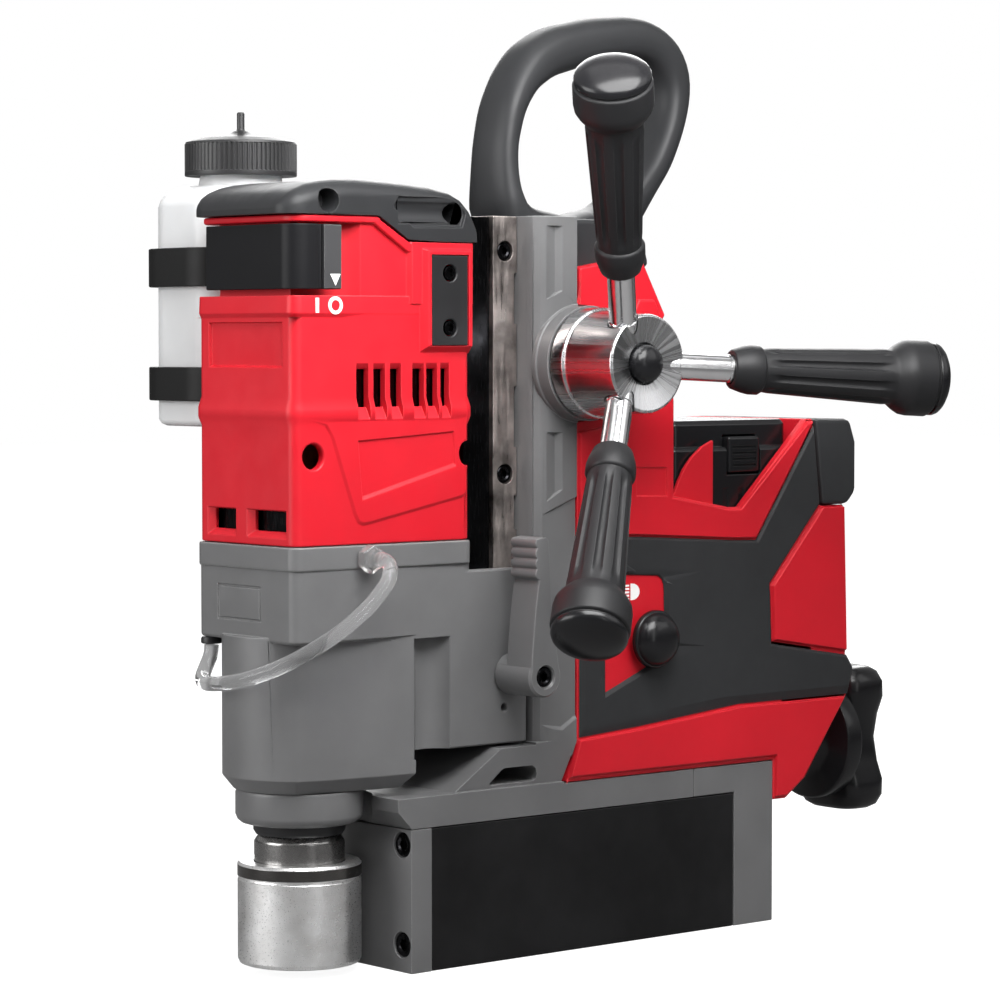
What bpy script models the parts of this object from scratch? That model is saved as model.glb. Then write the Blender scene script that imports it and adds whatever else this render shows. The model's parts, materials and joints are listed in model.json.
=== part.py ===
"""Battery magnetic drill press, as an assembly of separate named pieces.

Sizes are in millimetres and the helpers scale them to metres. X runs across the
machine, Y from the chuck to the magnet lever, Z up. Pieces are laid out from the
spindle axis (X = Y = 0) and the floor (Z = 0), then carried by the empty "machine",
which puts the row's origin at the centre of the magnet's bottom face.
"""

import math

import bmesh
import bpy
from mathutils import Matrix, Vector

MM = 0.001
GAP = 0.3                      # clearance between neighbouring solids
SPINDLE_TO_ORIGIN = 129.0      # spindle axis to the magnet's centre, along Y

# Magnet and base rail
BASE_HALF = 38.0
MAGNET_TOP = 58.0
MAGNET_FRONT = 27.5
MAGNET_REAR = 230.4
END_PLATE = 10.5
REAR_PLATE_FRONT = 207.0
RAIL_SPLIT = 183.0
RAIL_TOP = 70.3
RAIL_NOSE = 20.6

# Column, gib rails and slide
COLUMN_FRONT = 93.5
COLUMN_REAR = 115.8
COLUMN_FOOT = 87.4
COLUMN_TOP = 305.0
RACK_SLOT_HALF = 8.5
RACK_SLOT_REAR = 107.5
GIB_FRONT = 80.3
GIB_HALF = 26.0
GIB_FOOT = 95.0
GIB_SCREW_HEIGHTS = {"lower": 199.0, "upper": 290.6}
SLIDE_FRONT = 66.0
SLIDE_HALF = 24.0

# Feed: rack and pinion, hub, three spokes
FEED_Y = 117.0
FEED_Z = 244.5
FEED_MODULE = 1.5
FEED_ADDENDUM = 0.75
PINION_TEETH = 28
PINION_WAY = 22.4
BOSS_RADIUS = 25.5
HUB_START = 45.3
HUB_END = 80.0
SPOKE_COUNT = 3
SPOKE_MEET_X = 65.8
SPOKE_LEAN = math.radians(23.7)
SPOKE_FIRST = math.radians(-26.9)
SPOKE_RADIUS = 6.0

# Head: gear case, motor housing, top cover
HEAD_HALF = 33.0
HEAD_FRONT = -27.0
HEAD_REAR = 64.0
CASE_TOP = 173.0
CASE_BAND = 163.0
CASE_FLOOR = 134.7
BLOCK_FLOOR = 88.6
NOSE_FLOOR = 74.3
NOSE_RADIUS = 31.0
HOUSING_SHOULDER = 271.5
HOUSING_TOP = 303.0
COVER_TOP = 317.6

# Gear train from the motor to the spindle
MOTOR_Y = 27.5
TRAIN_MODULE = 1.25
SPINDLE_TEETH = 34
MOTOR_TEETH = 10
TRAIN_FLOOR = 145.0
TRAIN_TOP = 156.0

# Chuck
CHUCK_RADIUS = 25.0
CHUCK_FLOOR = 3.7
CHUCK_TOP = 44.7
NECK_RADIUS = 18.3
SHANK_BORE = 9.525

# Slide lock
LOCK_Y = 83.0
LOCK_Z = 117.5

# Magnet switching
LEVER_Z = 72.0
ROTOR_Z = 31.5
LEVER_MODULE = 1.5
LEVER_TEETH = 20
ROTOR_TEETH = 34
LEVER_GEAR_FRONT = 212.0
LEVER_GEAR_REAR = 220.0

# Rear housing
SHELL_HALF = 38.0
SHELL_WALL = 3.3
PANEL_OUT = 39.8
LAMP_Y = 156.0
LAMP_Z = 128.0

# Coolant bottle
BOTTLE_X = -65.3
BOTTLE_Y = 19.5
BOTTLE_HALF_X = 24.0
BOTTLE_HALF_Y = 32.0
BOTTLE_FLOOR = 218.5
BOTTLE_TOP = 322.0
STRAP_SPANS = ((229.0, 243.0), (276.0, 292.0))

PALETTE = {
    "red_plastic": ((0.72, 0.02, 0.035), 0.42, 0.0),
    "grey_casting": ((0.20, 0.20, 0.205), 0.45, 0.2),
    "dark_overmould": ((0.045, 0.046, 0.05), 0.7, 0.0),
    "black_plastic": ((0.02, 0.02, 0.022), 0.5, 0.0),
    "black_magnet": ((0.018, 0.018, 0.02), 0.6, 0.1),
    "bright_steel": ((0.62, 0.61, 0.6), 0.28, 1.0),
    "dark_steel": ((0.09, 0.085, 0.08), 0.3, 1.0),
    "black_steel": ((0.02, 0.02, 0.022), 0.35, 0.6),
    "polished_aluminium": ((0.8, 0.8, 0.81), 0.15, 1.0),
    "white_plastic": ((0.85, 0.87, 0.88), 0.4, 0.0),
    "clear_tube": ((0.85, 0.87, 0.88), 0.15, 0.0),
    "copper_winding": ((0.7, 0.32, 0.16), 0.4, 1.0),
    "green_board": ((0.02, 0.16, 0.06), 0.5, 0.0),
}


# ---------------------------------------------------------------- helpers

def clear_scene():
    for item in list(bpy.data.objects):
        bpy.data.objects.remove(item, do_unlink=True)


def finish_named(name):
    if name in bpy.data.materials:
        return bpy.data.materials[name]
    colour, roughness, metallic = PALETTE[name]
    made = bpy.data.materials.new(name)
    made.use_nodes = True
    shader = made.node_tree.nodes["Principled BSDF"]
    shader.inputs["Base Color"].default_value = (*colour, 1.0)
    shader.inputs["Roughness"].default_value = roughness
    shader.inputs["Metallic"].default_value = metallic
    return made


def pivot(name, place, parent=None):
    """An empty on a joint's axis, at a place given from the spindle axis."""
    item = bpy.data.objects.new(name, None)
    bpy.context.collection.objects.link(item)
    item["place"] = place
    item.parent = parent
    base = Vector(parent["place"]) if parent else Vector((0.0, SPINDLE_TO_ORIGIN, 0.0))
    item.location = (Vector(place) - base) * MM
    item.empty_display_size = 0.02
    return item


def add(name, build, finish, parent, smooth_angle=35.0):
    """Link a bmesh, laid out from the spindle axis, under the empty it moves with."""
    bmesh.ops.recalc_face_normals(build, faces=build.faces)
    bmesh.ops.scale(build, vec=(MM, MM, MM), verts=build.verts)
    mesh = bpy.data.meshes.new(name)
    build.to_mesh(mesh)
    build.free()
    mesh.shade_smooth()
    mesh.set_sharp_from_angle(angle=math.radians(smooth_angle))
    item = bpy.data.objects.new(name, mesh)
    bpy.context.collection.objects.link(item)
    item.parent = parent
    item.location = -Vector(parent["place"]) * MM
    if finish:
        mesh.materials.append(finish_named(finish))
    return item


def prism(outline, axis, low, high):
    """Extrude a closed outline along an axis; the outline is in the other two axes."""
    build = bmesh.new()
    lift = {"X": lambda a, b, h: (h, a, b),
            "Y": lambda a, b, h: (a, h, b),
            "Z": lambda a, b, h: (a, b, h)}[axis]
    bottom = [build.verts.new(lift(a, b, low)) for a, b in outline]
    top = [build.verts.new(lift(a, b, high)) for a, b in outline]
    build.faces.new(bottom)
    build.faces.new(top)
    count = len(outline)
    for i in range(count):
        j = (i + 1) % count
        build.faces.new((bottom[i], bottom[j], top[j], top[i]))
    return build


def block(low, high):
    (x0, y0, z0), (x1, y1, z1) = low, high
    return prism([(x0, y0), (x1, y0), (x1, y1), (x0, y1)], "Z", z0, z1)


def turned(profile, matrix, segments=24):
    """Spin a closed (radius, height) outline about local Z, then place it."""
    build = bmesh.new()
    rings = []
    for radius, height in profile:
        if radius == 0.0:
            rings.append([build.verts.new((0.0, 0.0, height))])
            continue
        ring = []
        for step in range(segments):
            angle = 2.0 * math.pi * step / segments
            ring.append(build.verts.new((radius * math.cos(angle), radius * math.sin(angle), height)))
        rings.append(ring)
    count = len(rings)
    for i in range(count):
        one, two = rings[i], rings[(i + 1) % count]
        if len(one) == 1 and len(two) == 1:
            continue
        for step in range(segments):
            after = (step + 1) % segments
            corners = [one[step % len(one)], one[after % len(one)], two[after % len(two)], two[step % len(two)]]
            unique = list(dict.fromkeys(corners))
            build.faces.new(unique)
    bmesh.ops.transform(build, matrix=matrix, verts=build.verts)
    return build


def along(axis, place):
    """Matrix that turns local Z onto an axis and moves it to a place."""
    turn = {"X": Matrix.Rotation(math.pi / 2, 4, "Y"),
            "Y": Matrix.Rotation(-math.pi / 2, 4, "X"),
            "Z": Matrix.Identity(4)}[axis]
    return Matrix.Translation(place) @ turn


def rod(radius, axis, place, low, high, segments=24):
    """A plain cylinder along an axis through a place, between two heights on it."""
    return turned([(0.0, low), (radius, low), (radius, high), (0.0, high)], along(axis, place), segments)


def mirrored(points):
    """Complete an outline whose right half is given from front to rear."""
    return points + [(-a, b) for a, b in reversed(points)]


def arc(centre, radius, start, end, steps):
    return [(centre[0] + radius * math.cos(math.radians(start + (end - start) * i / steps)),
             centre[1] + radius * math.sin(math.radians(start + (end - start) * i / steps)))
            for i in range(steps + 1)]


def rounded_outline(low, high, radius, steps=4):
    (x0, y0), (x1, y1) = low, high
    corners = ((x1 - radius, y0 + radius, -90), (x1 - radius, y1 - radius, 0),
               (x0 + radius, y1 - radius, 90), (x0 + radius, y0 + radius, 180))
    points = []
    for cx, cy, start in corners:
        points += arc((cx, cy), radius, start, start + 90, steps)
    return points


def gear_outline(teeth, module, centre, phase, addendum=0.85, backlash=0.4):
    """Spur gear whose straight flanks are the chords of involutes.

    The phase is the direction, in degrees, of a tooth's middle.
    """
    pitch = teeth * module / 2.0
    pressure = math.radians(20.0)
    base = pitch * math.cos(pressure)
    tip = pitch + addendum * module
    root = pitch - 1.25 * module
    half_tooth = math.pi / 2.0 / teeth - backlash / 2.0 / pitch
    involute = math.tan(pressure) - pressure

    def flank(radius):
        roll = math.acos(min(1.0, base / radius))
        return half_tooth + involute - (math.tan(roll) - roll)

    low, high = flank(max(base, root)), flank(tip)
    points = []
    for tooth in range(teeth):
        middle = math.radians(phase) + 2.0 * math.pi * tooth / teeth
        for radius, angle in ((root, -low), (tip, -high), (tip, high), (root, low)):
            points.append((centre[0] + radius * math.cos(middle + angle),
                           centre[1] + radius * math.sin(middle + angle)))
    return points


def bevel(item, width, segments=1, angle=35.0):
    edge = item.modifiers.new("edge", "BEVEL")
    edge.width = width * MM
    edge.segments = segments
    edge.limit_method = "ANGLE"
    edge.angle_limit = math.radians(angle)
    return item


def combine(item, operation, builds):
    """Boolean each build into the item, as a hidden wire tool on the same empty."""
    for index, build in enumerate(builds):
        tool = add(f"{item.name}.{operation.lower()}.{index}", build, None, item.parent)
        tool.hide_render = True
        tool.display_type = "WIRE"
        change = item.modifiers.new(tool.name, "BOOLEAN")
        change.operation = operation
        change.object = tool
    return item


def cut(item, *builds):
    return combine(item, "DIFFERENCE", builds)


def join(item, *builds):
    return combine(item, "UNION", builds)


# ---------------------------------------------------------------- magnet and base

def make_magnet(frame):
    corners = [(x, z) for x in (-31.8, 31.8) for z in (11.1, 51.5)]
    body = add("magnet_body", block((-37.8, MAGNET_FRONT + END_PLATE + GAP, 0),
                                    (37.8, REAR_PLATE_FRONT - GAP, MAGNET_TOP)), "black_magnet", frame)
    bevel(body, 0.8)
    cut(body, rod(18.6, "Y", (0, 0, ROTOR_Z), 60, REAR_PLATE_FRONT + 5, 24))
    cut(body, *[rod(2.9, "Y", (x, 0, z), 30, 52, 12) for x, z in corners])

    plate = add("magnet_front_plate", block((-BASE_HALF, MAGNET_FRONT, 0),
                                            (BASE_HALF, MAGNET_FRONT + END_PLATE, MAGNET_TOP)),
                "grey_casting", frame)
    bevel(plate, 1.0)
    countersink = [(0, 20), (5.4, 20), (5.4, MAGNET_FRONT + 0.6), (2.9, MAGNET_FRONT + 3.6), (2.9, 45), (0, 45)]
    cut(plate, *[turned(countersink, along("Y", (x, 0, z)), 14) for x, z in corners])
    head = [(0, MAGNET_FRONT + 2.2), (1.9, MAGNET_FRONT + 2.2), (1.9, MAGNET_FRONT + 0.2),
            (5.0, MAGNET_FRONT + 0.2), (5.0, MAGNET_FRONT + 0.8), (2.5, MAGNET_FRONT + 3.6), (2.5, 51), (0, 51)]
    for number, (x, z) in enumerate(corners, 1):
        add(f"front_plate_screw_{number}", turned(head, along("Y", (x, 0, z)), 14), "black_steel", frame)

    rear = add("magnet_rear_plate", prism(
        [(REAR_PLATE_FRONT, 0), (MAGNET_REAR, 0), (MAGNET_REAR, RAIL_TOP), (RAIL_SPLIT, RAIL_TOP),
         (RAIL_SPLIT, MAGNET_TOP + GAP), (REAR_PLATE_FRONT, MAGNET_TOP + GAP)], "X", -BASE_HALF, BASE_HALF),
        "grey_casting", frame)
    bevel(rear, 0.8)
    pocket_front, pocket_rear = LEVER_GEAR_FRONT - 1.5, LEVER_GEAR_REAR + 1.5
    cut(rear,
        rod(27.6, "Y", (0, 0, ROTOR_Z), pocket_front, pocket_rear, 36),
        rod(6.4, "Y", (0, 0, ROTOR_Z), REAR_PLATE_FRONT - 5, pocket_front + 1, 20),
        block((-17.4, pocket_front, ROTOR_Z + 20), (17.4, pocket_rear, RAIL_TOP + 5)),
        rod(5.4, "Y", (0, 0, LEVER_Z), REAR_PLATE_FRONT - 30, MAGNET_REAR + 5, 20))


def make_frame_casting(frame):
    side = [(MAGNET_FRONT + 0.3, MAGNET_TOP + GAP), (RAIL_NOSE + 0.4, 65.5), (RAIL_NOSE, RAIL_TOP + 0.7),
            (51, RAIL_TOP + 0.7), (74.5, COLUMN_FOOT), (COLUMN_FRONT, COLUMN_FOOT), (COLUMN_FRONT, 130),
            (COLUMN_REAR, 130), (COLUMN_REAR, COLUMN_FOOT), (108.5, RAIL_TOP),
            (RAIL_SPLIT - GAP, RAIL_TOP), (RAIL_SPLIT - GAP, MAGNET_TOP + GAP)]
    casting = add("frame_casting", prism(side, "X", -BASE_HALF, BASE_HALF), "grey_casting", frame)
    plan = mirrored([(RACK_SLOT_HALF, COLUMN_FRONT), (32, COLUMN_FRONT), (35.6, 95.4), (37.3, 98.6),
                     (38, 103), (38, COLUMN_REAR)])
    plan = [(RACK_SLOT_HALF, RACK_SLOT_REAR)] + plan + [(-RACK_SLOT_HALF, RACK_SLOT_REAR)]
    edge = [(30, COLUMN_FRONT - 1), (39, COLUMN_FRONT - 1), (39, 103.2), (38, 103), (37.3, 98.6), (35.6, 95.4),
            (32, COLUMN_FRONT)]
    join(casting, prism(plan, "Z", 100, COLUMN_TOP))
    join(casting, rod(BOSS_RADIUS, "X", (0, FEED_Y, FEED_Z), -41, HUB_START - GAP, 40))
    cut(casting,
        rod(29.5, "Z", (0, 0, 0), 50, RAIL_TOP + 10, 40),
        prism(edge, "Z", COLUMN_FOOT + 1, 131),
        prism([(-a, b) for a, b in edge], "Z", COLUMN_FOOT + 1, 131),
        block((-36.5, 80, FEED_Z - 40), (36.5, COLUMN_FRONT, FEED_Z + 40)),
        block((-RACK_SLOT_HALF, 80, COLUMN_FOOT + 2), (RACK_SLOT_HALF, RACK_SLOT_REAR, COLUMN_TOP + 5)),
        prism([(69.5, 72.8), (77, 79.2), (92.5, 79.2), (94.8, 77.2), (94.8, 73.6), (93.5, 72.8)], "X", -50, 50),
        rod(PINION_WAY, "X", (0, FEED_Y, FEED_Z), -9.2, HUB_START + 5, 36),
        rod(8.3, "X", (0, FEED_Y, FEED_Z), -39, 0, 20))
    return casting


def make_gibs(frame):
    inner = (10.3, 13.9)
    for side, sign in (("right", 1), ("left", -1)):
        plan = [(sign * inner[0], GIB_FRONT), (sign * GIB_HALF, GIB_FRONT),
                (sign * GIB_HALF, COLUMN_FRONT - GAP), (sign * inner[1], COLUMN_FRONT - GAP)]
        rail = add(f"gib_rail_{side}", prism(plan, "Z", GIB_FOOT, COLUMN_TOP), "dark_steel", frame)
        for level, height in GIB_SCREW_HEIGHTS.items():
            ends = sorted((sign * 19.0, sign * (GIB_HALF + 2)))
            cut(rail, rod(3.9, "X", (0, 86.8, height), *ends, 18))
            socket = [(0, 23.2), (1.6, 23.2), (1.6, 25.4), (3.5, 25.4), (3.5, 19.3), (0, 19.3)]
            place = Matrix.Translation((0, 86.8, height)) @ Matrix.Rotation(sign * math.pi / 2, 4, "Y")
            add(f"gib_screw_{side}_{level}", turned(socket, place, 18), "black_steel", frame)


# ---------------------------------------------------------------- handle and rear housing

def make_carry_handle(frame):
    """A closed D-shaped grab handle on the column's top and the rear housing."""
    outer = [(98, COLUMN_TOP + GAP), (97.6, 320), (97.8, 334), (101, 352), (107, 366), (116, 378),
             (130, 386), (152, 390), (176, 393.5), (190, 391), (202, 383), (208, 371), (207.5, 358),
             (203, 343), (196, 328), (186, 315), (177, 302), (174, 292), (166, 284), (150, 278),
             (COLUMN_REAR + GAP, 276)]
    inner = [(111, 309), (108.5, 322), (109, 336), (113, 349), (120, 358.5), (131, 365), (150, 370.5), (172, 374.5),
             (184, 374), (191, 369), (194.5, 361), (192, 348), (184, 333), (172, 320), (158, 311), (140, 306.5)]
    outline = outer + [(COLUMN_REAR + GAP, COLUMN_TOP + GAP)]
    handle = add("carry_handle", prism(outline, "X", -12, 12), "dark_overmould", frame)
    cut(handle, prism(inner, "X", -20, 20))
    bevel(handle, 3.5, 1, 50)
    saddle = [(COLUMN_REAR + GAP, 276), (150, 278), (164, 286), (158, 300), (146, 303), (COLUMN_REAR + GAP, 303.5)]
    join(handle, prism(saddle, "X", -30, 30))
    return handle


SHELL_SIDE = [(110.2, RAIL_TOP + GAP), (COLUMN_REAR + GAP, 85), (COLUMN_REAR + GAP, 272), (128, 272.5),
              (149, 274), (157, 276), (164, 263), (170.5, 229), (170.5, 188), (204, 182), (210, 182),
              (250, 219.5), (254, 219.5), (258.8, 181), (273.5, 181), (276.2, 96.3), (250.7, 61.4),
              (238.5, 53.1), (MAGNET_REAR + GAP, 53.1), (MAGNET_REAR + GAP, RAIL_TOP + GAP)]
SHELL_CAVITY = [(119.6, 74), (119.6, 268), (147, 270), (153, 270), (161, 262), (167.3, 228), (167.3, 186),
                (171, 186), (171, 240), (250.6, 240), (250.6, 178), (270, 178), (272.8, 97.5), (248.6, 64.3),
                (238, 57), (234, 57), (234, 74)]
OVERMOULD_SIDE = [(COLUMN_REAR + 0.5, 88.4), (151, 91), (209, 96.5), (276.4, 96.6), (279.7, 108.5),
                  (275.6, 114.3), (228.5, 121.8), (227.4, 147.8), (258.2, 181.6), (254.2, 217), (219, 167.6),
                  (205, 168), (151, 171.4), (COLUMN_REAR + 0.5, 172.6)]
SIDE_PANEL = [(228.9, 122.3), (275.4, 114.8), (273.4, 180.8), (258.7, 180.8), (227.8, 147.5)]
TOP_BAND = [(116.4, 173), (151, 171.9), (205, 168.5), (218.7, 168), (253.9, 218), (250.2, 218), (209.6, 181.6),
            (204, 181.6), (169.5, 187.8), (169.5, 228), (163, 262), (158, 271), (149, 271), (144.4, 262),
            (144.4, 220), (116.4, 216)]
LOWER_PANEL = [(116.4, 87.6), (110.8, 71.5), (230.9, 71.5), (230.9, 54), (238.3, 54), (250, 61.8), (275.6, 95.8),
               (209, 95.9), (151, 90.4)]
LAMP_WINDOW = [(131.5, 107), (165, 120.4), (164, 154.5), (131.5, 156)]
BUMPER_SIDE = [(254.5, 219.6), (276.5, 219.2), (280.3, 209), (280.3, 187), (275.5, 181.4), (259.2, 181.4)]


def make_rear_housing(frame):
    shaft_way = (rod(5.4, "Y", (0, 0, LEVER_Z), 225, 300, 20),
                 (-5.4, 205, LEVER_Z - 12), (5.4, 235, LEVER_Z + 5.4))
    for side, sign in (("right", 1), ("left", -1)):
        low, high = sorted((sign * 0.15, sign * SHELL_HALF))
        shell = add(f"rear_housing_{side}", prism(SHELL_SIDE, "X", low, high), "red_plastic", frame)
        wall = sorted((-sign * 1.0, sign * (SHELL_HALF - SHELL_WALL)))
        cut(shell, prism(SHELL_CAVITY, "X", *wall))
        face = sorted((sign * (SHELL_HALF - 1), sign * PANEL_OUT))
        join(shell, prism(SIDE_PANEL, "X", *face), prism(TOP_BAND, "X", *face), prism(LOWER_PANEL, "X", *face))
        cut(shell,
            rod(BOSS_RADIUS + 0.4, "X", (0, FEED_Y, FEED_Z), -60, 60, 40),
            rod(5.4, "Y", (0, 0, LEVER_Z), 225, 300, 20),
            block(shaft_way[1], shaft_way[2]),
            block((-17.4, LEVER_GEAR_FRONT - 1.5, 60), (17.4, LEVER_GEAR_REAR + 1.5, 80)))
        skin = sorted((sign * (SHELL_HALF + GAP), sign * PANEL_OUT))
        cover = add(f"overmould_{side}", prism(OVERMOULD_SIDE, "X", *skin), "dark_overmould", frame)
        cut(cover, prism(LAMP_WINDOW, "X", -60, 60))
        if sign > 0:
            cut(shell, rod(6.3, "X", (0, LAMP_Y, LAMP_Z), 30, 60, 20))
    bumper = add("rear_bumper", prism(BUMPER_SIDE, "X", -PANEL_OUT, PANEL_OUT), "dark_overmould", frame)
    bevel(bumper, 2.0)
    add("control_board", block((-28, 122, 98), (28, 124.4, 212)), "green_board", frame)


def make_light_button(frame):
    button = pivot("light_button_axis", (SHELL_HALF, LAMP_Y, LAMP_Z), frame)
    profile = [(0, 31), (8.5, 31), (8.5, 34.4), (6.0, 34.4), (6.0, 41.3), (12.3, 41.3), (12.3, 43), (10.8, 46.6),
               (6.5, 49.4), (0, 50.2)]
    add("light_button", turned(profile, along("X", (0, LAMP_Y, LAMP_Z)), 20), "black_plastic", button)


def make_battery(frame):
    slide = pivot("battery_axis", (0, 211, 120), frame)
    body = add("battery_pack", block((-34, 173.5, 122), (34, 248, 208)), "black_plastic", slide)
    top = [(-31, 176), (31, 176), (31, 246), (-31, 246)]
    join(body, prism(top, "Z", 206, 219.5))
    bevel(body, 1.5)
    cut(body, *[block((sign * 29 - 6, 206, 196), (sign * 29 + 6, 226, 213)) for sign in (1, -1)])
    for side, sign in (("right", 1), ("left", -1)):
        button = pivot(f"latch_{side}_axis", (sign * 30, 216, 204), slide)
        low, high = sorted((sign * 27.5, sign * 34.4))
        latch = add(f"battery_latch_{side}", block((low, 206.6, 196.6), (high, 225.4, 212.4)),
                    "dark_overmould", button)
        bevel(latch, 1.0)


# ---------------------------------------------------------------- magnet switching

def make_magnet_switch(frame):
    lever = pivot("magnet_lever_axis", (0, 0, LEVER_Z), frame)
    shaft = add("lever_shaft", rod(5.0, "Y", (0, 0, LEVER_Z), LEVER_GEAR_FRONT - 4, 300, 20), "bright_steel", lever)
    join(shaft, prism(gear_outline(LEVER_TEETH, LEVER_MODULE, (0, LEVER_Z), -90), "Y",
                      LEVER_GEAR_FRONT, LEVER_GEAR_REAR))
    wing = []
    for height, half in ((-33, 8), (-30, 12), (-22, 13.5), (-10, 10), (0, 9), (10, 10), (22, 13.5), (30, 12), (33, 8)):
        wing.append((half, LEVER_Z + height))
    knob = add("magnet_lever", prism(mirrored(wing), "Y", 297, 327), "black_plastic", lever)
    bevel(knob, 3.0, 1, 50)
    join(knob, turned([(0, 272), (13, 272), (15, 282), (27, 290), (27, 299), (0, 299)],
                      along("Y", (0, 0, LEVER_Z)), 24))
    cut(knob, rod(5.3, "Y", (0, 0, LEVER_Z), 250, 300.5, 20))

    rotor = pivot("magnet_rotor_axis", (0, 0, ROTOR_Z), frame)
    profile = [(0, 62), (18.0, 62), (18.0, 204), (6.0, 204), (6.0, LEVER_GEAR_FRONT + 1), (0, LEVER_GEAR_FRONT + 1)]
    drum = add("magnet_rotor", turned(profile, along("Y", (0, 0, ROTOR_Z)), 24), "bright_steel", rotor)
    gap_up = 90 + 180 / ROTOR_TEETH
    join(drum, prism(gear_outline(ROTOR_TEETH, LEVER_MODULE, (0, ROTOR_Z), gap_up), "Y",
                     LEVER_GEAR_FRONT, LEVER_GEAR_REAR))


# ---------------------------------------------------------------- feed

def spoke_matrix(number):
    """Local Z runs out along a spoke from the point where the three meet."""
    turn = SPOKE_FIRST + 2.0 * math.pi * number / SPOKE_COUNT
    way = Vector((math.sin(SPOKE_LEAN), math.cos(SPOKE_LEAN) * math.sin(turn), math.cos(SPOKE_LEAN) * math.cos(turn)))
    return Matrix.Translation((SPOKE_MEET_X, FEED_Y, FEED_Z)) @ way.to_track_quat("Z", "Y").to_matrix().to_4x4()


def make_feed(frame):
    feed = pivot("feed_axis", (0, FEED_Y, FEED_Z), frame)
    place = (0, FEED_Y, FEED_Z)
    shaft = add("pinion_shaft", rod(8.0, "X", place, -38.5, 60, 20), "bright_steel", feed)
    gap_front = 180 + 180 / PINION_TEETH
    gear = gear_outline(PINION_TEETH, FEED_MODULE, (FEED_Y, FEED_Z), gap_front, FEED_ADDENDUM)
    join(shaft, prism(gear, "X", -7, 7))
    wide = PINION_WAY - GAP
    bush = [(8.3, 9.4), (wide, 9.4), (wide, HUB_START - 0.8), (8.3, HUB_START - 0.8)]
    add("pinion_bush", turned(bush, along("X", place), 24), "dark_steel", frame)

    profile = [(0, 61), (8.3, 61), (8.3, HUB_START), (22.4, HUB_START), (23.0, HUB_START + 0.8), (23.0, 52), (22.0, 53),
               (21.4, 60), (20.6, 70), (20.0, HUB_END - 0.6), (19.2, HUB_END), (8.2, HUB_END - 2.4), (8.2, HUB_END - 4),
               (0, HUB_END - 4)]
    hub = add("feed_hub", turned(profile, along("X", place), 28), "polished_aluminium", feed)
    cap = [(0, HUB_END - 3.7), (7.8, HUB_END - 3.7), (7.8, HUB_END - 0.6), (6.2, HUB_END + 2.0), (3.4, HUB_END + 3.4),
           (0, HUB_END + 3.8)]
    add("hub_cap", turned(cap, along("X", place), 18), "black_plastic", feed)
    for number in range(SPOKE_COUNT):
        matrix = spoke_matrix(number)
        socket = [(0, 13), (SPOKE_RADIUS + GAP, 13), (SPOKE_RADIUS + GAP, 45), (0, 45)]
        cut(hub, turned(socket, matrix, 12))
        spoke = [(0, 13.4), (SPOKE_RADIUS, 13.4), (SPOKE_RADIUS, 80), (0, 80)]
        add(f"feed_spoke_{number + 1}", turned(spoke, matrix, 12), "bright_steel", feed)
        grip = [(0, 81), (6.3, 81), (6.3, 46), (7.8, 46), (9.0, 50), (9.0, 60), (11.6, 115), (15.6, 122.5),
                (15.8, 134), (11.5, 138.8), (0, 141.6)]
        add(f"feed_grip_{number + 1}", turned(grip, matrix, 16), "black_plastic", feed)


# ---------------------------------------------------------------- head

def nose_outline(shrink=0.0):
    """The nose in plan: a round front that meets two nearly straight sides."""
    front = arc((0, 0), NOSE_RADIUS - shrink, -37, -90, 6)
    right = [(HEAD_HALF - shrink, 34), (HEAD_HALF - 2.0 - shrink, 12), (27.5 - shrink, -8)] + front
    return mirrored(right)


def make_gear_case(head):
    """Grey casting: gear box, round nose and the carriage that wraps the gibs."""
    case = add("gear_case", prism(rounded_outline((-HEAD_HALF, HEAD_FRONT + 0.3), (HEAD_HALF, 52), 3, 2),
                                  "Z", CASE_FLOOR, CASE_BAND + 1), "grey_casting", head)
    band = rounded_outline((-HEAD_HALF - 0.6, HEAD_FRONT - 0.3), (HEAD_HALF + 0.6, HEAD_REAR), 3, 2)
    wall = HEAD_HALF - 4.5
    join(case,
         prism(band, "Z", CASE_BAND, CASE_TOP),
         block((-HEAD_HALF, 30, BLOCK_FLOOR), (HEAD_HALF, 92.6, CASE_BAND + 1)),
         prism(nose_outline(), "Z", 80, CASE_FLOOR + 2),
         prism(nose_outline(4.5), "Z", NOSE_FLOOR, 81))
    cut(case,
        block((-27.3, SLIDE_FRONT - GAP, BLOCK_FLOOR - 5), (27.3, 100, CASE_TOP + 5)),
        block((-wall, -22.5, CASE_FLOOR + 4), (wall, 58, CASE_TOP + 5)),
        rod(19.0, "Z", (0, 0, 0), NOSE_FLOOR - 5, CASE_FLOOR + 6, 32),
        rod(4.3, "X", (0, LOCK_Y, LOCK_Z), 20, 60, 18))
    return case


def make_slide(head):
    plan = mirrored([(SLIDE_HALF, SLIDE_FRONT), (SLIDE_HALF, GIB_FRONT - 0.5), (9.9, GIB_FRONT - 0.5), (12.2, 89.0)])
    bar = add("slide_bar", prism(plan, "Z", 92, COLUMN_TOP - 0.6), "black_steel", head)
    pitch = math.pi * FEED_MODULE
    lean = math.tan(math.radians(20.0))
    back, line = 89.3, FEED_Y - PINION_TEETH * FEED_MODULE / 2
    tip, root = line + FEED_ADDENDUM * FEED_MODULE, line - 1.25 * FEED_MODULE
    half = pitch / 4 - 0.2
    outline = [(back, 93.5)]
    first = -round((FEED_Z - 97) / pitch)
    for tooth in range(first, 5):
        middle = FEED_Z + tooth * pitch
        outline += [(root, middle - half - (line - root) * lean), (tip, middle - half + (tip - line) * lean),
                    (tip, middle + half - (tip - line) * lean), (root, middle + half + (line - root) * lean)]
    outline[0] = (back, outline[1][1])
    outline.append((back, outline[-1][1]))
    add("feed_rack", prism(outline, "X", -7, 7), "bright_steel", head)
    return bar


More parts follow.
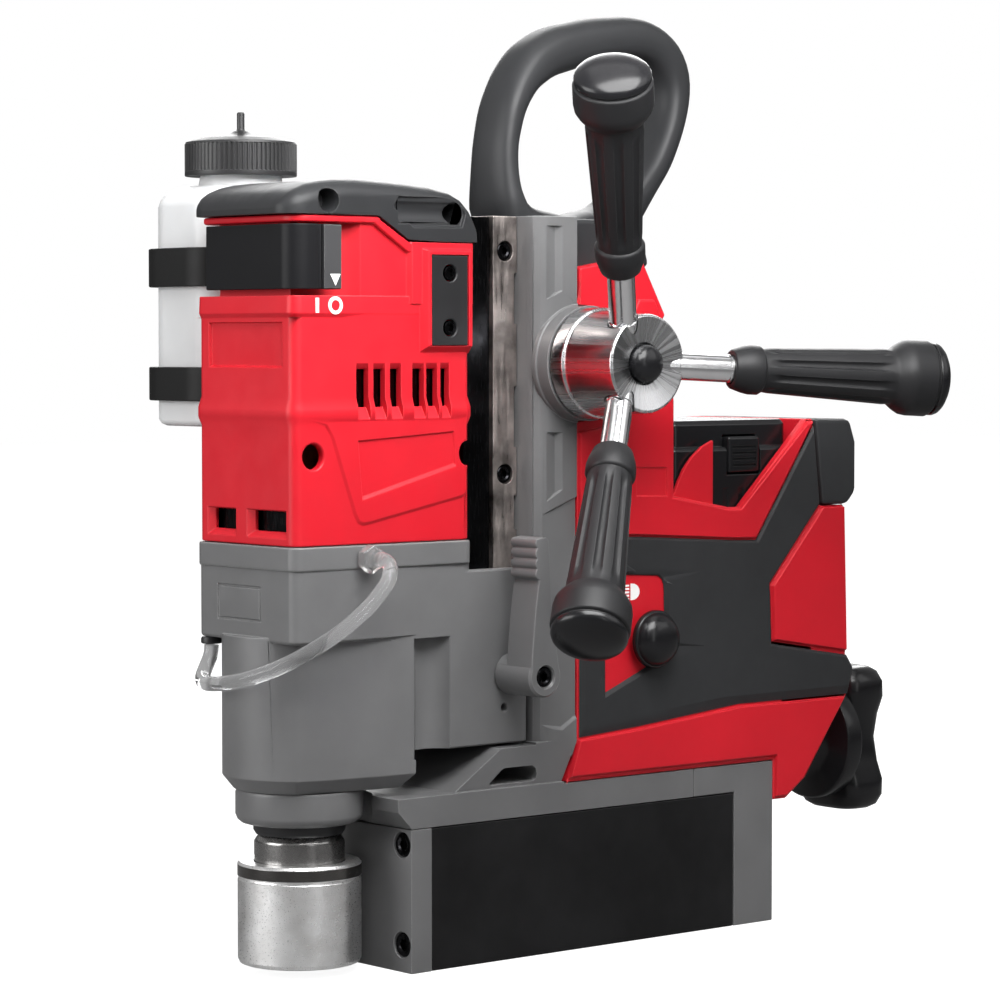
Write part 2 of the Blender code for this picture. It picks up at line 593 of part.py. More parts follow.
def make_motor_housing(head):
    low = [(-HEAD_HALF, HEAD_FRONT), (HEAD_HALF, HEAD_FRONT), (HEAD_HALF, HEAD_REAR), (-HEAD_HALF, HEAD_REAR)]
    shell = add("motor_housing", prism(low, "Z", CASE_TOP + GAP, HOUSING_SHOULDER), "red_plastic", head)
    bevel(shell, 2.5)
    neck = mirrored([(24, -21.5), (24, -3), (31.6, -3), (31.6, 36), (HEAD_HALF, 36), (HEAD_HALF, HEAD_REAR)])
    neck = [(a if a > 0 or b > -10 else max(a, -31.6), b) for a, b in neck]
    lip = rounded_outline((-32.6, HEAD_FRONT + 0.6), (32.6, HEAD_REAR), 3, 2)
    join(shell, prism(neck, "Z", HOUSING_SHOULDER - 2, HOUSING_TOP), prism(lip, "Z", 300.3, HOUSING_TOP))
    inside = HEAD_HALF - 3.5
    slots = [block((-40, y, 223), (40, y + 4.6, 244)) for y in (4, 12.4, 20.8, 32.6, 41, 49.4)]
    cut(shell,
        block((-inside, HEAD_FRONT + 3.5, 160), (inside, HEAD_REAR - 3.5, 262)),
        block((-20, -18, 255), (20, HEAD_REAR - 6, 297)),
        prism([(15, 303), (30.5, 293.6), (70, 293.6), (70, 310), (15, 310)], "X", -50, 50),
        block((-21.5, -40, 179), (-6, -10, 187)),
        block((1.6, -40, 179), (27.3, -10, 187)),
        *slots)
    return shell


def make_top_cover(head):
    side = [(-30, HOUSING_TOP + GAP), (14.8, HOUSING_TOP + GAP), (30.4, 293.9), (64, 293.9), (65.6, 300), (64, 308),
            (58, 312.6), (30, 316.4), (0, COVER_TOP), (-18, 315.5), (-27, 310.5), (-30, 306)]
    cover = add("top_cover", prism(side, "X", -HEAD_HALF - 0.8, HEAD_HALF + 0.8), "dark_overmould", head)
    bevel(cover, 4.0, 1, 60)
    return cover


def make_motor_switch(head):
    slide = pivot("motor_switch_axis", (0, HEAD_FRONT, 287), head)
    plan = [(-24.6, -27.6), (33.4, -27.6), (33.4, -3.7), (30.4, -3.7), (30.4, -24.2), (-24.6, -24.2)]
    bevel(add("motor_switch", prism(plan, "Z", 274, 299.5), "black_plastic", slide), 0.6)


def make_side_plate(head):
    plate = add("side_plate", block((HEAD_HALF + GAP, 41, 252), (HEAD_HALF + 2.2, 59.5, 288)), "black_plastic", head)
    bevel(plate, 0.5)
    for level, height in (("lower", 259.0), ("upper", 281.0)):
        place = along("X", (0, 50.2, height))
        cut(plate, turned([(0, 30), (3.3, 30), (3.3, 40), (0, 40)], place, 18))
        shape = [(0, 33.6), (3.0, 33.6), (3.0, 35.6), (1.5, 35.6), (1.5, 34.6), (0, 34.6)]
        add(f"side_plate_screw_{level}", turned(shape, place, 18), "black_steel", head)


def make_motor(head):
    stator = [(15.0, 182), (26.0, 182), (26.0, 222), (15.0, 222)]
    add("motor_stator", turned(stator, along("Z", (0, MOTOR_Y, 0)), 24), "copper_winding", head)
    spin = pivot("motor_axis", (0, MOTOR_Y, 0), head)
    shape = [(0, TRAIN_FLOOR - 2), (3.6, TRAIN_FLOOR - 2), (3.6, 180), (14.4, 180), (14.4, 224), (3.6, 224),
             (3.6, 228), (24.0, 228), (24.0, 236), (3.6, 236), (3.6, 246), (0, 246)]
    rotor = add("motor_rotor", turned(shape, along("Z", (0, MOTOR_Y, 0)), 20), "bright_steel", spin)
    gap_front = -90 + 180 / MOTOR_TEETH
    join(rotor, prism(gear_outline(MOTOR_TEETH, TRAIN_MODULE, (0, MOTOR_Y), gap_front), "Z",
                      TRAIN_FLOOR, TRAIN_TOP))


def make_spindle(head):
    spin = pivot("spindle_axis", (0, 0, 0), head)
    shape = [(SHANK_BORE, 13), (17.6, 13), (NECK_RADIUS, 14), (NECK_RADIUS, 53), (15.5, 57), (15.5, 139.4), (9, 139.4),
             (9, 160), (0, 160), (0, 66), (SHANK_BORE, 66)]
    spindle = add("spindle", turned(shape, along("Z", (0, 0, 0)), 24), "bright_steel", spin)
    join(spindle, prism(gear_outline(SPINDLE_TEETH, TRAIN_MODULE, (0, 0), 90), "Z", TRAIN_FLOOR, TRAIN_TOP))
    lift = pivot("chuck_sleeve_axis", (0, 0, CHUCK_FLOOR), spin)
    sleeve = [(14.0, CHUCK_FLOOR), (CHUCK_RADIUS - 1, CHUCK_FLOOR), (CHUCK_RADIUS, CHUCK_FLOOR + 1),
              (CHUCK_RADIUS, CHUCK_TOP - 1), (CHUCK_RADIUS - 1, CHUCK_TOP), (18.7, CHUCK_TOP), (18.7, 6.4), (14.0, 6.4)]
    add("chuck_sleeve", turned(sleeve, along("Z", (0, 0, 0)), 32), "bright_steel", lift)
    ring = [(19.6, 60.2), (24.0, 60.2), (25.8, 62.2), (25.8, NOSE_FLOOR - GAP), (19.6, NOSE_FLOOR - GAP)]
    add("nose_ring", turned(ring, along("Z", (0, 0, 0)), 28), "grey_casting", head)


def make_lock_lever(head):
    lock = pivot("lock_lever_axis", (HEAD_HALF, LOCK_Y, LOCK_Z), head)
    place = (0, LOCK_Y, LOCK_Z)
    arm = [(75.6, 119), (77.0, 140), (79.0, 155), (80.4, 158), (79.2, 160), (80.4, 162), (79.2, 164), (80.4, 166),
           (79.2, 168), (80.4, 170), (79.2, 172), (80.4, 174), (84.8, 174), (85.6, 160), (86.4, 145), (88, 132),
           (90.6, 120)]
    lever = add("lock_lever", prism(arm, "X", 40, 56), "grey_casting", lock)
    join(lever, rod(8.2, "X", place, HEAD_HALF + GAP, 56, 28))
    cut(lever, turned([(0, 30), (2.8, 30), (2.8, 48), (4.4, 48), (4.4, 60), (0, 60)], along("X", place), 18))
    shape = [(0, 26.6), (2.5, 26.6), (2.5, 48.4), (4.1, 48.4), (4.1, 55.2), (2.0, 55.2), (2.0, 52.2), (0, 52.2)]
    add("lock_lever_screw", turned(shape, along("X", place), 16), "black_steel", lock)


# ---------------------------------------------------------------- coolant

def bottle_outline(grow):
    return rounded_outline((BOTTLE_X - BOTTLE_HALF_X - grow, BOTTLE_Y - BOTTLE_HALF_Y - grow),
                           (BOTTLE_X + BOTTLE_HALF_X + grow, BOTTLE_Y + BOTTLE_HALF_Y + grow), 14 + grow, 3)


def make_bottle(head):
    place = (BOTTLE_X, BOTTLE_Y, 0)
    bottle = add("coolant_bottle", prism(bottle_outline(0), "Z", BOTTLE_FLOOR, 316), "white_plastic", head)
    bevel(bottle, 4.0, 1, 60)
    join(bottle, turned([(0, 310), (22, 310), (17, BOTTLE_TOP), (17, 331), (0, 331)], along("Z", place), 24))
    holder = add("bottle_bracket", block((-37.0, 5, 226), (-HEAD_HALF - GAP, 34, 293)), "black_plastic", head)
    bands = [prism(bottle_outline(4.0), "Z", low, high) for low, high in STRAP_SPANS]
    bridges = [block((-46, 8, low + 1), (-36.5, 31, high - 1)) for low, high in STRAP_SPANS]
    join(holder, *bridges, *bands)
    cut(holder, prism(bottle_outline(GAP), "Z", 200, 320))
    turn = pivot("bottle_cap_axis", (BOTTLE_X, BOTTLE_Y, BOTTLE_TOP), head)
    shape = [(17.4, BOTTLE_TOP + GAP), (23.4, BOTTLE_TOP + GAP), (23.4, 336.4), (21.8, 338), (4.0, 338), (4.0, 340.5),
             (1.6, 341.5), (1.6, 349), (0, 349), (0, 331.5), (17.4, 331.5)]
    add("bottle_cap", turned(shape, along("Z", place), 24), "black_plastic", turn)


HOSE_RADIUS = 3.0
HOSE_STEP = 5.0
HOSE_ROUTE = [(41.0, 8.5, 167.6), (44.2, 8.5, 167.6), (47.8, 8.3, 166.4), (50.2, 7.2, 162.6), (50.4, 4.6, 158.0),
              (48.8, -2.4, 150.0), (46.8, -9.0, 144.2), (43.4, -16.0, 138.4), (38.5, -23.0, 133.0), (32.0, -29.0, 128.2),
              (24.0, -33.5, 124.2), (14.0, -36.5, 121.0), (3.0, -37.6, 118.8), (-8.0, -37.0, 117.6),
              (-17.0, -34.5, 117.4), (-24.0, -30.4, 118.8), (-28.0, -25.8, 122.4), (-28.8, -22.9, 127.0),
              (-28.7, -22.5, 131.0)]


def smooth_route(points, spacing):
    """Points at an even spacing on a Catmull-Rom curve through the route."""
    ends = [2 * Vector(points[0]) - Vector(points[1])] + [Vector(p) for p in points]
    ends.append(2 * Vector(points[-1]) - Vector(points[-2]))
    fine = []
    for i in range(1, len(ends) - 2):
        a, b, c, d = ends[i - 1:i + 3]
        for step in range(24):
            t = step / 24
            fine.append(0.5 * (2 * b + (c - a) * t + (2 * a - 5 * b + 4 * c - d) * t * t
                               + (3 * b - a - 3 * c + d) * t ** 3))
    fine.append(ends[-2])
    length = sum((q - p).length for p, q in zip(fine, fine[1:]))
    count = max(2, round(length / spacing))
    kept, walked, target = [fine[0]], 0.0, length / count
    for p, q in zip(fine, fine[1:]):
        piece = (q - p).length
        while walked + piece >= target and len(kept) < count:
            kept.append(p.lerp(q, (target - walked) / piece))
            target += length / count
        walked += piece
    return kept + [fine[-1]]


def make_coolant_line(head):
    fitting = [(0, 34.0), (5.0, 34.0), (5.0, 38.5), (3.4, 38.8), (3.4, 40.4), (0, 40.4)]
    add("hose_fitting", turned(fitting, along("X", (0, 8.5, 167.6)), 12), "clear_tube", head)
    barb = [(0, 131.8), (4.2, 131.8), (4.2, CASE_FLOOR - GAP), (0, CASE_FLOOR - GAP)]
    add("hose_barb", turned(barb, along("Z", (-28.7, -22.5, 0)), 16), "black_plastic", head)
    curve = bpy.data.curves.new("coolant_hose", "CURVE")
    curve.dimensions = "3D"
    curve.bevel_depth = HOSE_RADIUS * MM
    curve.bevel_resolution = 2
    curve.use_fill_caps = True
    spline = curve.splines.new("POLY")
    points = smooth_route(HOSE_ROUTE, HOSE_STEP)
    spline.points.add(len(points) - 1)
    for target, point in zip(spline.points, points):
        target.co = (*(point * MM), 1.0)
    curve.materials.append(finish_named("clear_tube"))
    hose = bpy.data.objects.new("coolant_hose", curve)
    bpy.context.collection.objects.link(hose)
    hose.parent = head
    hose.location = -Vector(head["place"]) * MM


def main():
    clear_scene()
    machine = pivot("machine", (0.0, 0.0, 0.0))
    head = pivot("head_axis", (0, 86.0, 200.0), machine)
    make_magnet(machine)
    make_frame_casting(machine)
    make_gibs(machine)
    make_carry_handle(machine)
    make_rear_housing(machine)
    make_light_button(machine)
    make_battery(machine)
    make_magnet_switch(machine)
    make_feed(machine)
    make_gear_case(head)
    make_slide(head)
    make_motor_housing(head)
    make_top_cover(head)
    make_motor_switch(head)
    make_side_plate(head)
    make_motor(head)
    make_spindle(head)
    make_lock_lever(head)
    make_bottle(head)
    make_coolant_line(head)


main()
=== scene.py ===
"""Battery magnetic drill press: the finished looks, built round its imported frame.

Pieces are laid out in millimetres from the spindle axis (X = Y = 0) and the floor
(Z = 0), with X across the machine, Y from the chuck to the magnet lever and Z up.
INTO_FRAME carries them to the frame, in metres, whose origin is under the magnet.
"""

import json
import math

import bmesh
import bpy
from mathutils import Matrix, Vector

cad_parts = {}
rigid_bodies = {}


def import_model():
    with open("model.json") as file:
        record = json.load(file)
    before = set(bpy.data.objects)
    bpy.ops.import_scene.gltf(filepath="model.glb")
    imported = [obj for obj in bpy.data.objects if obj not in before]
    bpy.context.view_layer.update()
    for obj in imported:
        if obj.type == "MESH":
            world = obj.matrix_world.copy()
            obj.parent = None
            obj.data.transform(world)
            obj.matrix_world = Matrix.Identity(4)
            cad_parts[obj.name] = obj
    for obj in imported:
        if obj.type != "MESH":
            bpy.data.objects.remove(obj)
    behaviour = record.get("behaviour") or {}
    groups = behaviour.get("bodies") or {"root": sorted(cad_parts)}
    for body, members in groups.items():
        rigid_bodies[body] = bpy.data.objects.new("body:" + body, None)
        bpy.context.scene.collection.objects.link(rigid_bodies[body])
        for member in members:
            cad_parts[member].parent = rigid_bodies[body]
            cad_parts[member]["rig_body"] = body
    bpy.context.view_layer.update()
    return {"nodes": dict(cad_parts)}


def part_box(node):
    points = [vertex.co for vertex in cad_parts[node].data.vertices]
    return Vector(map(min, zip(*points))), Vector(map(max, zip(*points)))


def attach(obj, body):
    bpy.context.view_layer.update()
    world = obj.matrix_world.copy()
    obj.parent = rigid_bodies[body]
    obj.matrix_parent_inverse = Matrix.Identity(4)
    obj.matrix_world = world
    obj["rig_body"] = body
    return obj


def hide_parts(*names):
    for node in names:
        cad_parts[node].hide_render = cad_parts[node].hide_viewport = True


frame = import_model()

MM = 0.001
GAP = 0.3
SPINDLE_TO_ORIGIN = 129.0
INTO_FRAME = Matrix.Scale(MM, 4) @ Matrix.Translation((0.0, -SPINDLE_TO_ORIGIN, 0.0))


def span(node):
    """A node's lowest and highest corners, in mm from the spindle axis."""
    back = INTO_FRAME.inverted()
    return [Vector(round(value, 1) for value in back @ corner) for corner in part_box(node)]


def middle(node):
    low, high = span(node)
    return (low + high) / 2.0


# Magnet and base rail
BASE_HALF = span("magnet_front_plate")[1].x
MAGNET_HALF = 37.8
ROTOR_Z = 31.5
MAGNET_FRONT = span("magnet_front_plate")[0].y
PLATE_REAR = span("magnet_front_plate")[1].y
MAGNET_TOP = span("magnet_front_plate")[1].z
MAGNET_REAR = span("magnet_rear_plate")[1].y
RAIL_SPLIT = span("magnet_rear_plate")[0].y
REAR_PLATE_FRONT = 207.0
RAIL_TOP = span("magnet_rear_plate")[1].z
RAIL_NOSE = span("frame_casting")[0].y

# Column and slide
COLUMN_FRONT = 93.5
COLUMN_REAR = 115.8
COLUMN_FOOT = 87.4
COLUMN_TOP = span("gib_rail_right")[1].z
RACK_SLOT_HALF = 8.5
RACK_SLOT_REAR = 107.5
GIB_FRONT = span("gib_rail_right")[0].y
GIB_HALF = span("gib_rail_right")[1].x
GIB_FOOT = span("gib_rail_right")[0].z
GIB_SCREW_Y = 86.8
GIB_SCREW_HEIGHTS = {"lower": 199.0, "upper": 290.6}
SLIDE_FRONT = span("slide_bar")[0].y

# Feed
FEED_Y = middle("feed_hub").y
FEED_Z = middle("feed_hub").z
BOSS_RADIUS = 23.8
PINION_WAY = 22.4
HUB_START = span("feed_hub")[0].x
HUB_END = span("feed_hub")[1].x
SPOKE_COUNT = 3
SPOKE_MEET_X = 65.8
SPOKE_LEAN = math.radians(23.7)
SPOKE_FIRST = math.radians(-26.9)
SPOKE_RADIUS = 6.0

# Head
HEAD_HALF = 33.0
HEAD_FRONT = -27.0
HEAD_REAR = 64.0
CASE_BAND = 163.6
CASE_TOP = span("gear_case")[1].z
CASE_FLOOR = 134.7
BLOCK_FLOOR = 88.6
NOSE_FLOOR = span("gear_case")[0].z
NOSE_RADIUS = 31.0
HOUSING_SHOULDER = 271.5
COVER_STEP_Y = 14.9              # where the cover's lower edge begins to step down
PLATE_SCREW_Y = 50.2
HOUSING_TOP = span("motor_housing")[1].z

# Spindle and chuck
CHUCK_FLOOR = span("chuck_sleeve")[0].z
CHUCK_TOP = span("chuck_sleeve")[1].z
NECK_RADIUS = 18.3

# Levers and rear housing
LOCK_Y = 83.0
LOCK_Z = 117.5
LEVER_Z = middle("magnet_lever").z
SHELL_HALF = 38.0
PANEL_OUT = span("rear_housing_right")[1].x
LAMP_Y = middle("light_button").y
LAMP_Z = middle("light_button").z

# Coolant bottle
BOTTLE_X = middle("coolant_bottle").x
BOTTLE_Y = middle("coolant_bottle").y
BOTTLE_HALF_X = 24.0
BOTTLE_HALF_Y = 32.0
BOTTLE_FLOOR = span("coolant_bottle")[0].z
BOTTLE_TOP = 322.0
STRAP_SPANS = ((229.0, 243.0), (276.0, 292.0))

# The camera stands in front and to the right of the machine, near the height of its middle
CAMERA_AZIMUTH = math.radians(49.724)
CAMERA_ELEVATION = math.radians(2.638)
CAMERA_PLACE = (1117.68, -840.99, 254.27)
CAMERA_LENS = 125.3
SENSOR = 36.0


# ---------------------------------------------------------------- shapes

def extrude(outline, far, axis, low, high):
    """A solid between two matching outlines, which are in the other two axes."""
    build = bmesh.new()
    lift = {"X": lambda a, b, h: (h, a, b),
            "Y": lambda a, b, h: (a, h, b),
            "Z": lambda a, b, h: (a, b, h)}[axis]
    bottom = [build.verts.new(lift(a, b, low)) for a, b in outline]
    top = [build.verts.new(lift(a, b, high)) for a, b in far]
    build.faces.new(bottom)
    build.faces.new(top)
    count = len(outline)
    for i in range(count):
        j = (i + 1) % count
        build.faces.new((bottom[i], bottom[j], top[j], top[i]))
    return build


def inset(points, distances):
    """Move the sides of a closed outline inwards: one distance, or one for each side."""
    count = len(points)
    if not isinstance(distances, (list, tuple)):
        distances = [distances] * count
    area = sum(a[0] * b[1] - b[0] * a[1] for a, b in zip(points, points[1:] + points[:1]))
    turn = 1.0 if area > 0.0 else -1.0
    lines = []
    for i in range(count):
        start, end = Vector(points[i]), Vector(points[(i + 1) % count])
        way = (end - start).normalized()
        inward = Vector((-way.y, way.x)) * turn
        lines.append((start + inward * distances[i], way, inward))
    moved = []
    for i in range(count):
        (p, a, n), (q, b, m) = lines[i - 1], lines[i]
        cross = a.x * b.y - a.y * b.x
        if abs(cross) < 0.02:
            moved.append(Vector(points[i]) + n * distances[i - 1])
            continue
        gap = q - p
        moved.append(p + a * ((gap.x * b.y - gap.y * b.x) / cross))
    return [(point.x, point.y) for point in moved]


def prism(outline, axis, low, high, shrink=0.0):
    """Extrude an outline; shrink draws its far end in, by one or several distances."""
    far = inset(outline, shrink) if shrink else outline
    return extrude(outline, far, axis, low, high)


def block(low, high):
    (x0, y0, z0), (x1, y1, z1) = low, high
    return prism([(x0, y0), (x1, y0), (x1, y1), (x0, y1)], "Z", z0, z1)


def loft(rings, closed=False):
    """Skin a row of matching rings; it is capped at both ends unless it is closed."""
    build = bmesh.new()
    rows = [[build.verts.new(point) for point in ring] for ring in rings]
    count = len(rows[0])
    for low, high in zip(rows, rows[1:] + (rows[:1] if closed else [])):
        for i in range(count):
            j = (i + 1) % count
            build.faces.new((low[i], low[j], high[j], high[i]))
    if not closed:
        build.faces.new(rows[0])
        build.faces.new(rows[-1])
    return build


def around(radii, centre=(0.0, 0.0), start=0.0):
    """Points evenly spaced round a centre, each at its own radius; start is in steps."""
    points = []
    for step, radius in enumerate(radii):
        angle = 2.0 * math.pi * (step + start) / len(radii)
        points.append((centre[0] + radius * math.cos(angle), centre[1] + radius * math.sin(angle)))
    return points


def turned(profile, matrix, segments=64):
    """Spin a closed (radius, height) outline about local Z, then place it.

    A radius may be a list, with a value of its own for each segment.
    """
    build = bmesh.new()
    rings = []
    for radius, height in profile:
        radii = radius if isinstance(radius, list) else [radius] * (segments if radius else 1)
        rings.append([build.verts.new((x, y, height)) for x, y in around(radii)])
    for one, two in zip(rings, rings[1:] + rings[:1]):
        if len(one) == 1 and len(two) == 1:
            continue
        for step in range(segments):
            after = (step + 1) % segments
            corners = [one[step % len(one)], one[after % len(one)], two[after % len(two)],
                       two[step % len(two)]]
            build.faces.new(list(dict.fromkeys(corners)))
    bmesh.ops.transform(build, matrix=matrix, verts=build.verts)
    return build


def lathe(profile, matrix, segments=64):
    """Turn a solid from its outer (radius, height) line; both ends are flat."""
    return turned([(0, profile[0][1]), *profile, (0, profile[-1][1])], matrix, segments)


def along(axis, place):
    """Matrix that turns local Z onto an axis and moves it to a place."""
    turn = {"X": Matrix.Rotation(math.pi / 2, 4, "Y"),
            "Y": Matrix.Rotation(-math.pi / 2, 4, "X"),
            "Z": Matrix.Identity(4)}[axis]
    return Matrix.Translation(place) @ turn


def rod(radius, axis, place, low, high, segments=48):
    return lathe([(radius, low), (radius, high)], along(axis, place), segments)


def arc(centre, radius, start, end, steps):
    return [(centre[0] + radius * math.cos(math.radians(start + (end - start) * i / steps)),
             centre[1] + radius * math.sin(math.radians(start + (end - start) * i / steps)))
            for i in range(steps + 1)]


def rounded_outline(low, high, radius, steps=6):
    (x0, y0), (x1, y1) = low, high
    corners = ((x1 - radius, y0 + radius, -90), (x1 - radius, y1 - radius, 0),
               (x0 + radius, y1 - radius, 90), (x0 + radius, y0 + radius, 180))
    points = []
    for cx, cy, start in corners:
        points += arc((cx, cy), radius, start, start + 90, steps)
    return points


def mirrored(points):
    """Complete an outline whose right half is given from front to rear."""
    return points + [(-a, b) for a, b in reversed(points)]


def tower(low, high, radius, levels, steps=6):
    """A rounded box whose plan grows or shrinks between its levels."""
    rings = []
    for height, grow in levels:
        plan = rounded_outline((low[0] - grow, low[1] - grow), (high[0] + grow, high[1] + grow),
                               radius + grow, steps)
        rings.append([(x, y, height) for x, y in plan])
    return loft(rings)


def oval(half_a, half_b, power, count):
    """A superellipse: power 2 is an ellipse, and a higher power is squarer."""
    points = []
    for step in range(count):
        angle = 2.0 * math.pi * step / count
        across, up = math.cos(angle), math.sin(angle)
        points.append((half_a * math.copysign(abs(across) ** (2.0 / power), across),
                       half_b * math.copysign(abs(up) ** (2.0 / power), up)))
    return points


def flipped(build):
    """A copy on the machine's other side."""
    copy = build.copy()
    bmesh.ops.scale(copy, vec=(-1.0, 1.0, 1.0), verts=copy.verts)
    return copy


def both(build):
    return [build, flipped(build)]


# ---------------------------------------------------------------- solid modelling

def linked(name, data):
    """A new object in the scene."""
    item = bpy.data.objects.new(name, data)
    bpy.context.collection.objects.link(item)
    return item


def holding(build):
    """Put a shape on a passing object, where modifiers can work on it."""
    bmesh.ops.recalc_face_normals(build, faces=build.faces)
    mesh = bpy.data.meshes.new("passing")
    build.to_mesh(mesh)
    build.free()
    return linked("passing", mesh)


def evaluated(item, *tools):
    """The shape after its modifiers. The passing objects are cleared away."""
    bpy.context.view_layer.update()
    result = bmesh.new()
    result.from_object(item, bpy.context.evaluated_depsgraph_get())
    for one in (item, *tools):
        mesh = one.data
        bpy.data.objects.remove(one)
        bpy.data.meshes.remove(mesh)
    return result


def combined(build, operation, builds):
    item = holding(build)
    tools = [holding(tool) for tool in builds]
    for tool in tools:
        change = item.modifiers.new("combine", "BOOLEAN")
        change.operation = operation
        change.solver = "EXACT"
        change.object = tool
    return evaluated(item, *tools)


def united(build, builds):
    return combined(build, "UNION", builds) if builds else build


def without(build, builds):
    return combined(build, "DIFFERENCE", builds) if builds else build


def bevelled(build, width, steps=2, angle=30.0):
    bmesh.ops.remove_doubles(build, verts=build.verts, dist=0.01)
    bmesh.ops.dissolve_limit(build, angle_limit=math.radians(0.4), verts=build.verts, edges=build.edges)
    item = holding(build)
    change = item.modifiers.new("edge", "BEVEL")
    change.width = width
    change.segments = steps
    change.limit_method = "ANGLE"
    change.angle_limit = math.radians(angle)
    change.use_clamp_overlap = False
    return evaluated(item)


def shape(base, join=(), cut=(), edge=0.4, steps=2, angle=30.0):
    """A base with shapes joined to it, others cut from it, and its edges softened."""
    return bevelled(without(united(base, join), cut), edge, steps, angle)


def extra(name, body, build, finish, smooth_angle=35.0):
    """A smooth-shaded piece, given in mm from the spindle axis, that rides on a body."""
    open_edges = [edge for edge in build.edges if edge.is_boundary]
    if open_edges:
        bmesh.ops.holes_fill(build, edges=open_edges, sides=12)
    bmesh.ops.recalc_face_normals(build, faces=build.faces)
    bmesh.ops.transform(build, matrix=INTO_FRAME, verts=build.verts)
    mesh = bpy.data.meshes.new(name)
    build.to_mesh(mesh)
    build.free()
    mesh.shade_smooth()
    mesh.set_sharp_from_angle(angle=math.radians(smooth_angle))
    mesh.materials.append(FINISHES[finish])
    item = linked(name, mesh)
    weight = item.modifiers.new("weight", "WEIGHTED_NORMAL")
    weight.keep_sharp = True
    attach(item, body)
    return item


def stand_in(node, build, finish, smooth_angle=35.0):
    """A detailed piece that takes a CAD node's place, on the same body."""
    item = extra(f"{node}_look", frame["nodes"][node]["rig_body"], build, finish, smooth_angle)
    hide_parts(node)
    return item


def refinish(node, finish, edge):
    """Keep a CAD node's own shape, with a finished material and softened edges."""
    item = frame["nodes"][node]
    item.data.materials.clear()
    item.data.materials.append(FINISHES[finish])
    change = item.modifiers.new("edge", "BEVEL")
    change.width = edge * MM
    change.segments = 2
    change.limit_method = "ANGLE"
    change.angle_limit = math.radians(35.0)


# ---------------------------------------------------------------- camera and hose

def make_camera():
    data = bpy.data.cameras.new("camera")
    data.lens = CAMERA_LENS
    data.sensor_width = SENSOR
    data.clip_start = 0.05
    data.clip_end = 30.0
    camera = linked("camera", data)
    camera.location = INTO_FRAME @ Vector(CAMERA_PLACE)
    camera.rotation_euler = (math.pi / 2 - CAMERA_ELEVATION, 0.0, CAMERA_AZIMUTH)
    bpy.context.scene.camera = camera


HOSE_RADIUS = 3.0
HOSE_STEP = 2.5
HOSE_ROUTE = [(41.0, 8.5, 167.6), (44.2, 8.5, 167.6), (47.8, 8.3, 166.4), (50.2, 7.2, 162.6),
              (50.4, 4.6, 158.0), (48.8, -2.4, 150.0), (46.8, -9.0, 144.2), (43.4, -16.0, 138.4),
              (38.5, -23.0, 133.0), (32.0, -29.0, 128.2), (24.0, -33.5, 124.2), (14.0, -36.5, 121.0),
              (3.0, -37.6, 118.8), (-8.0, -37.0, 117.6), (-17.0, -34.5, 117.4), (-24.0, -30.4, 118.8),
              (-28.0, -25.8, 122.4), (-28.8, -22.9, 127.0), (-28.7, -22.5, 131.0)]


def smooth_route(points, spacing):
    """Points at an even spacing on a Catmull-Rom curve through the route, and its length."""
    ends = [2 * Vector(points[0]) - Vector(points[1])] + [Vector(p) for p in points]
    ends.append(2 * Vector(points[-1]) - Vector(points[-2]))
    fine = []
    for i in range(1, len(ends) - 2):
        a, b, c, d = ends[i - 1:i + 3]
        for step in range(24):
            t = step / 24
            fine.append(0.5 * (2 * b + (c - a) * t + (2 * a - 5 * b + 4 * c - d) * t * t
                               + (3 * b - a - 3 * c + d) * t ** 3))
    fine.append(ends[-2])
    length = sum((q - p).length for p, q in zip(fine, fine[1:]))
    count = max(2, round(length / spacing))
    kept, walked, target = [fine[0]], 0.0, length / count
    for p, q in zip(fine, fine[1:]):
        piece = (q - p).length
        while walked + piece >= target and len(kept) < count:
            kept.append(p.lerp(q, (target - walked) / piece))
            target += length / count
        walked += piece
    return kept + [fine[-1]], length


def make_coolant_line():
    """The clear hose from the fitting on the gear case's side to the barb under it."""
    fitting_place = along("X", (0, *HOSE_ROUTE[0][1:]))
    nut = lathe([(5.4, 33.9), (5.8, 34.5), (5.8, 38.0), (5.2, 38.6)], fitting_place, 6)
    spout = lathe([(3.6, 38), (3.6, 39.4), (3.9, 39.6), (3.9, 40.4)], fitting_place)
    fitting = stand_in("hose_fitting", shape(nut, join=[spout], edge=0.3), "clear_plastic")
    barb_place = along("Z", (*HOSE_ROUTE[-1][:2], 0))
    profile = [(3.8, 131.6), (4.3, 132.0), (4.3, 133.6), (3.9, CASE_FLOOR - GAP)]
    barb = stand_in("hose_barb", lathe(profile, barb_place), "black_plastic")

    points, length = smooth_route(HOSE_ROUTE, HOSE_STEP)
    curve = bpy.data.curves.new("coolant_hose_look", "CURVE")
    curve.dimensions = "3D"
    curve.bevel_depth = HOSE_RADIUS * MM
    curve.bevel_resolution = 8
    curve.use_fill_caps = True
    spline = curve.splines.new("POLY")
    spline.points.add(len(points) - 1)
    for target, point in zip(spline.points, points):
        target.co = (*(INTO_FRAME @ point), 1.0)
    spline.use_smooth = True
    curve.materials.append(FINISHES["clear_tube"])
    hose = linked("coolant_hose_look", curve)
    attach(hose, "head")
    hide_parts("coolant_hose")


# ---------------------------------------------------------------- finishes


def feed(tree, socket, value):
    """Set a socket to a value, or link another node's output to it."""
    if isinstance(value, bpy.types.NodeSocket):
        tree.links.new(value, socket)
    else:
        socket.default_value = value


def add(tree, kind, inputs=None, **settings):
    """Add a shader node, with its inputs' values or links and its own settings."""
    made = tree.nodes.new(f"ShaderNode{kind}")
    for name, value in settings.items():
        setattr(made, name, value)
    for name, value in (inputs or {}).items():
        feed(tree, made.inputs[name], value)
    return made


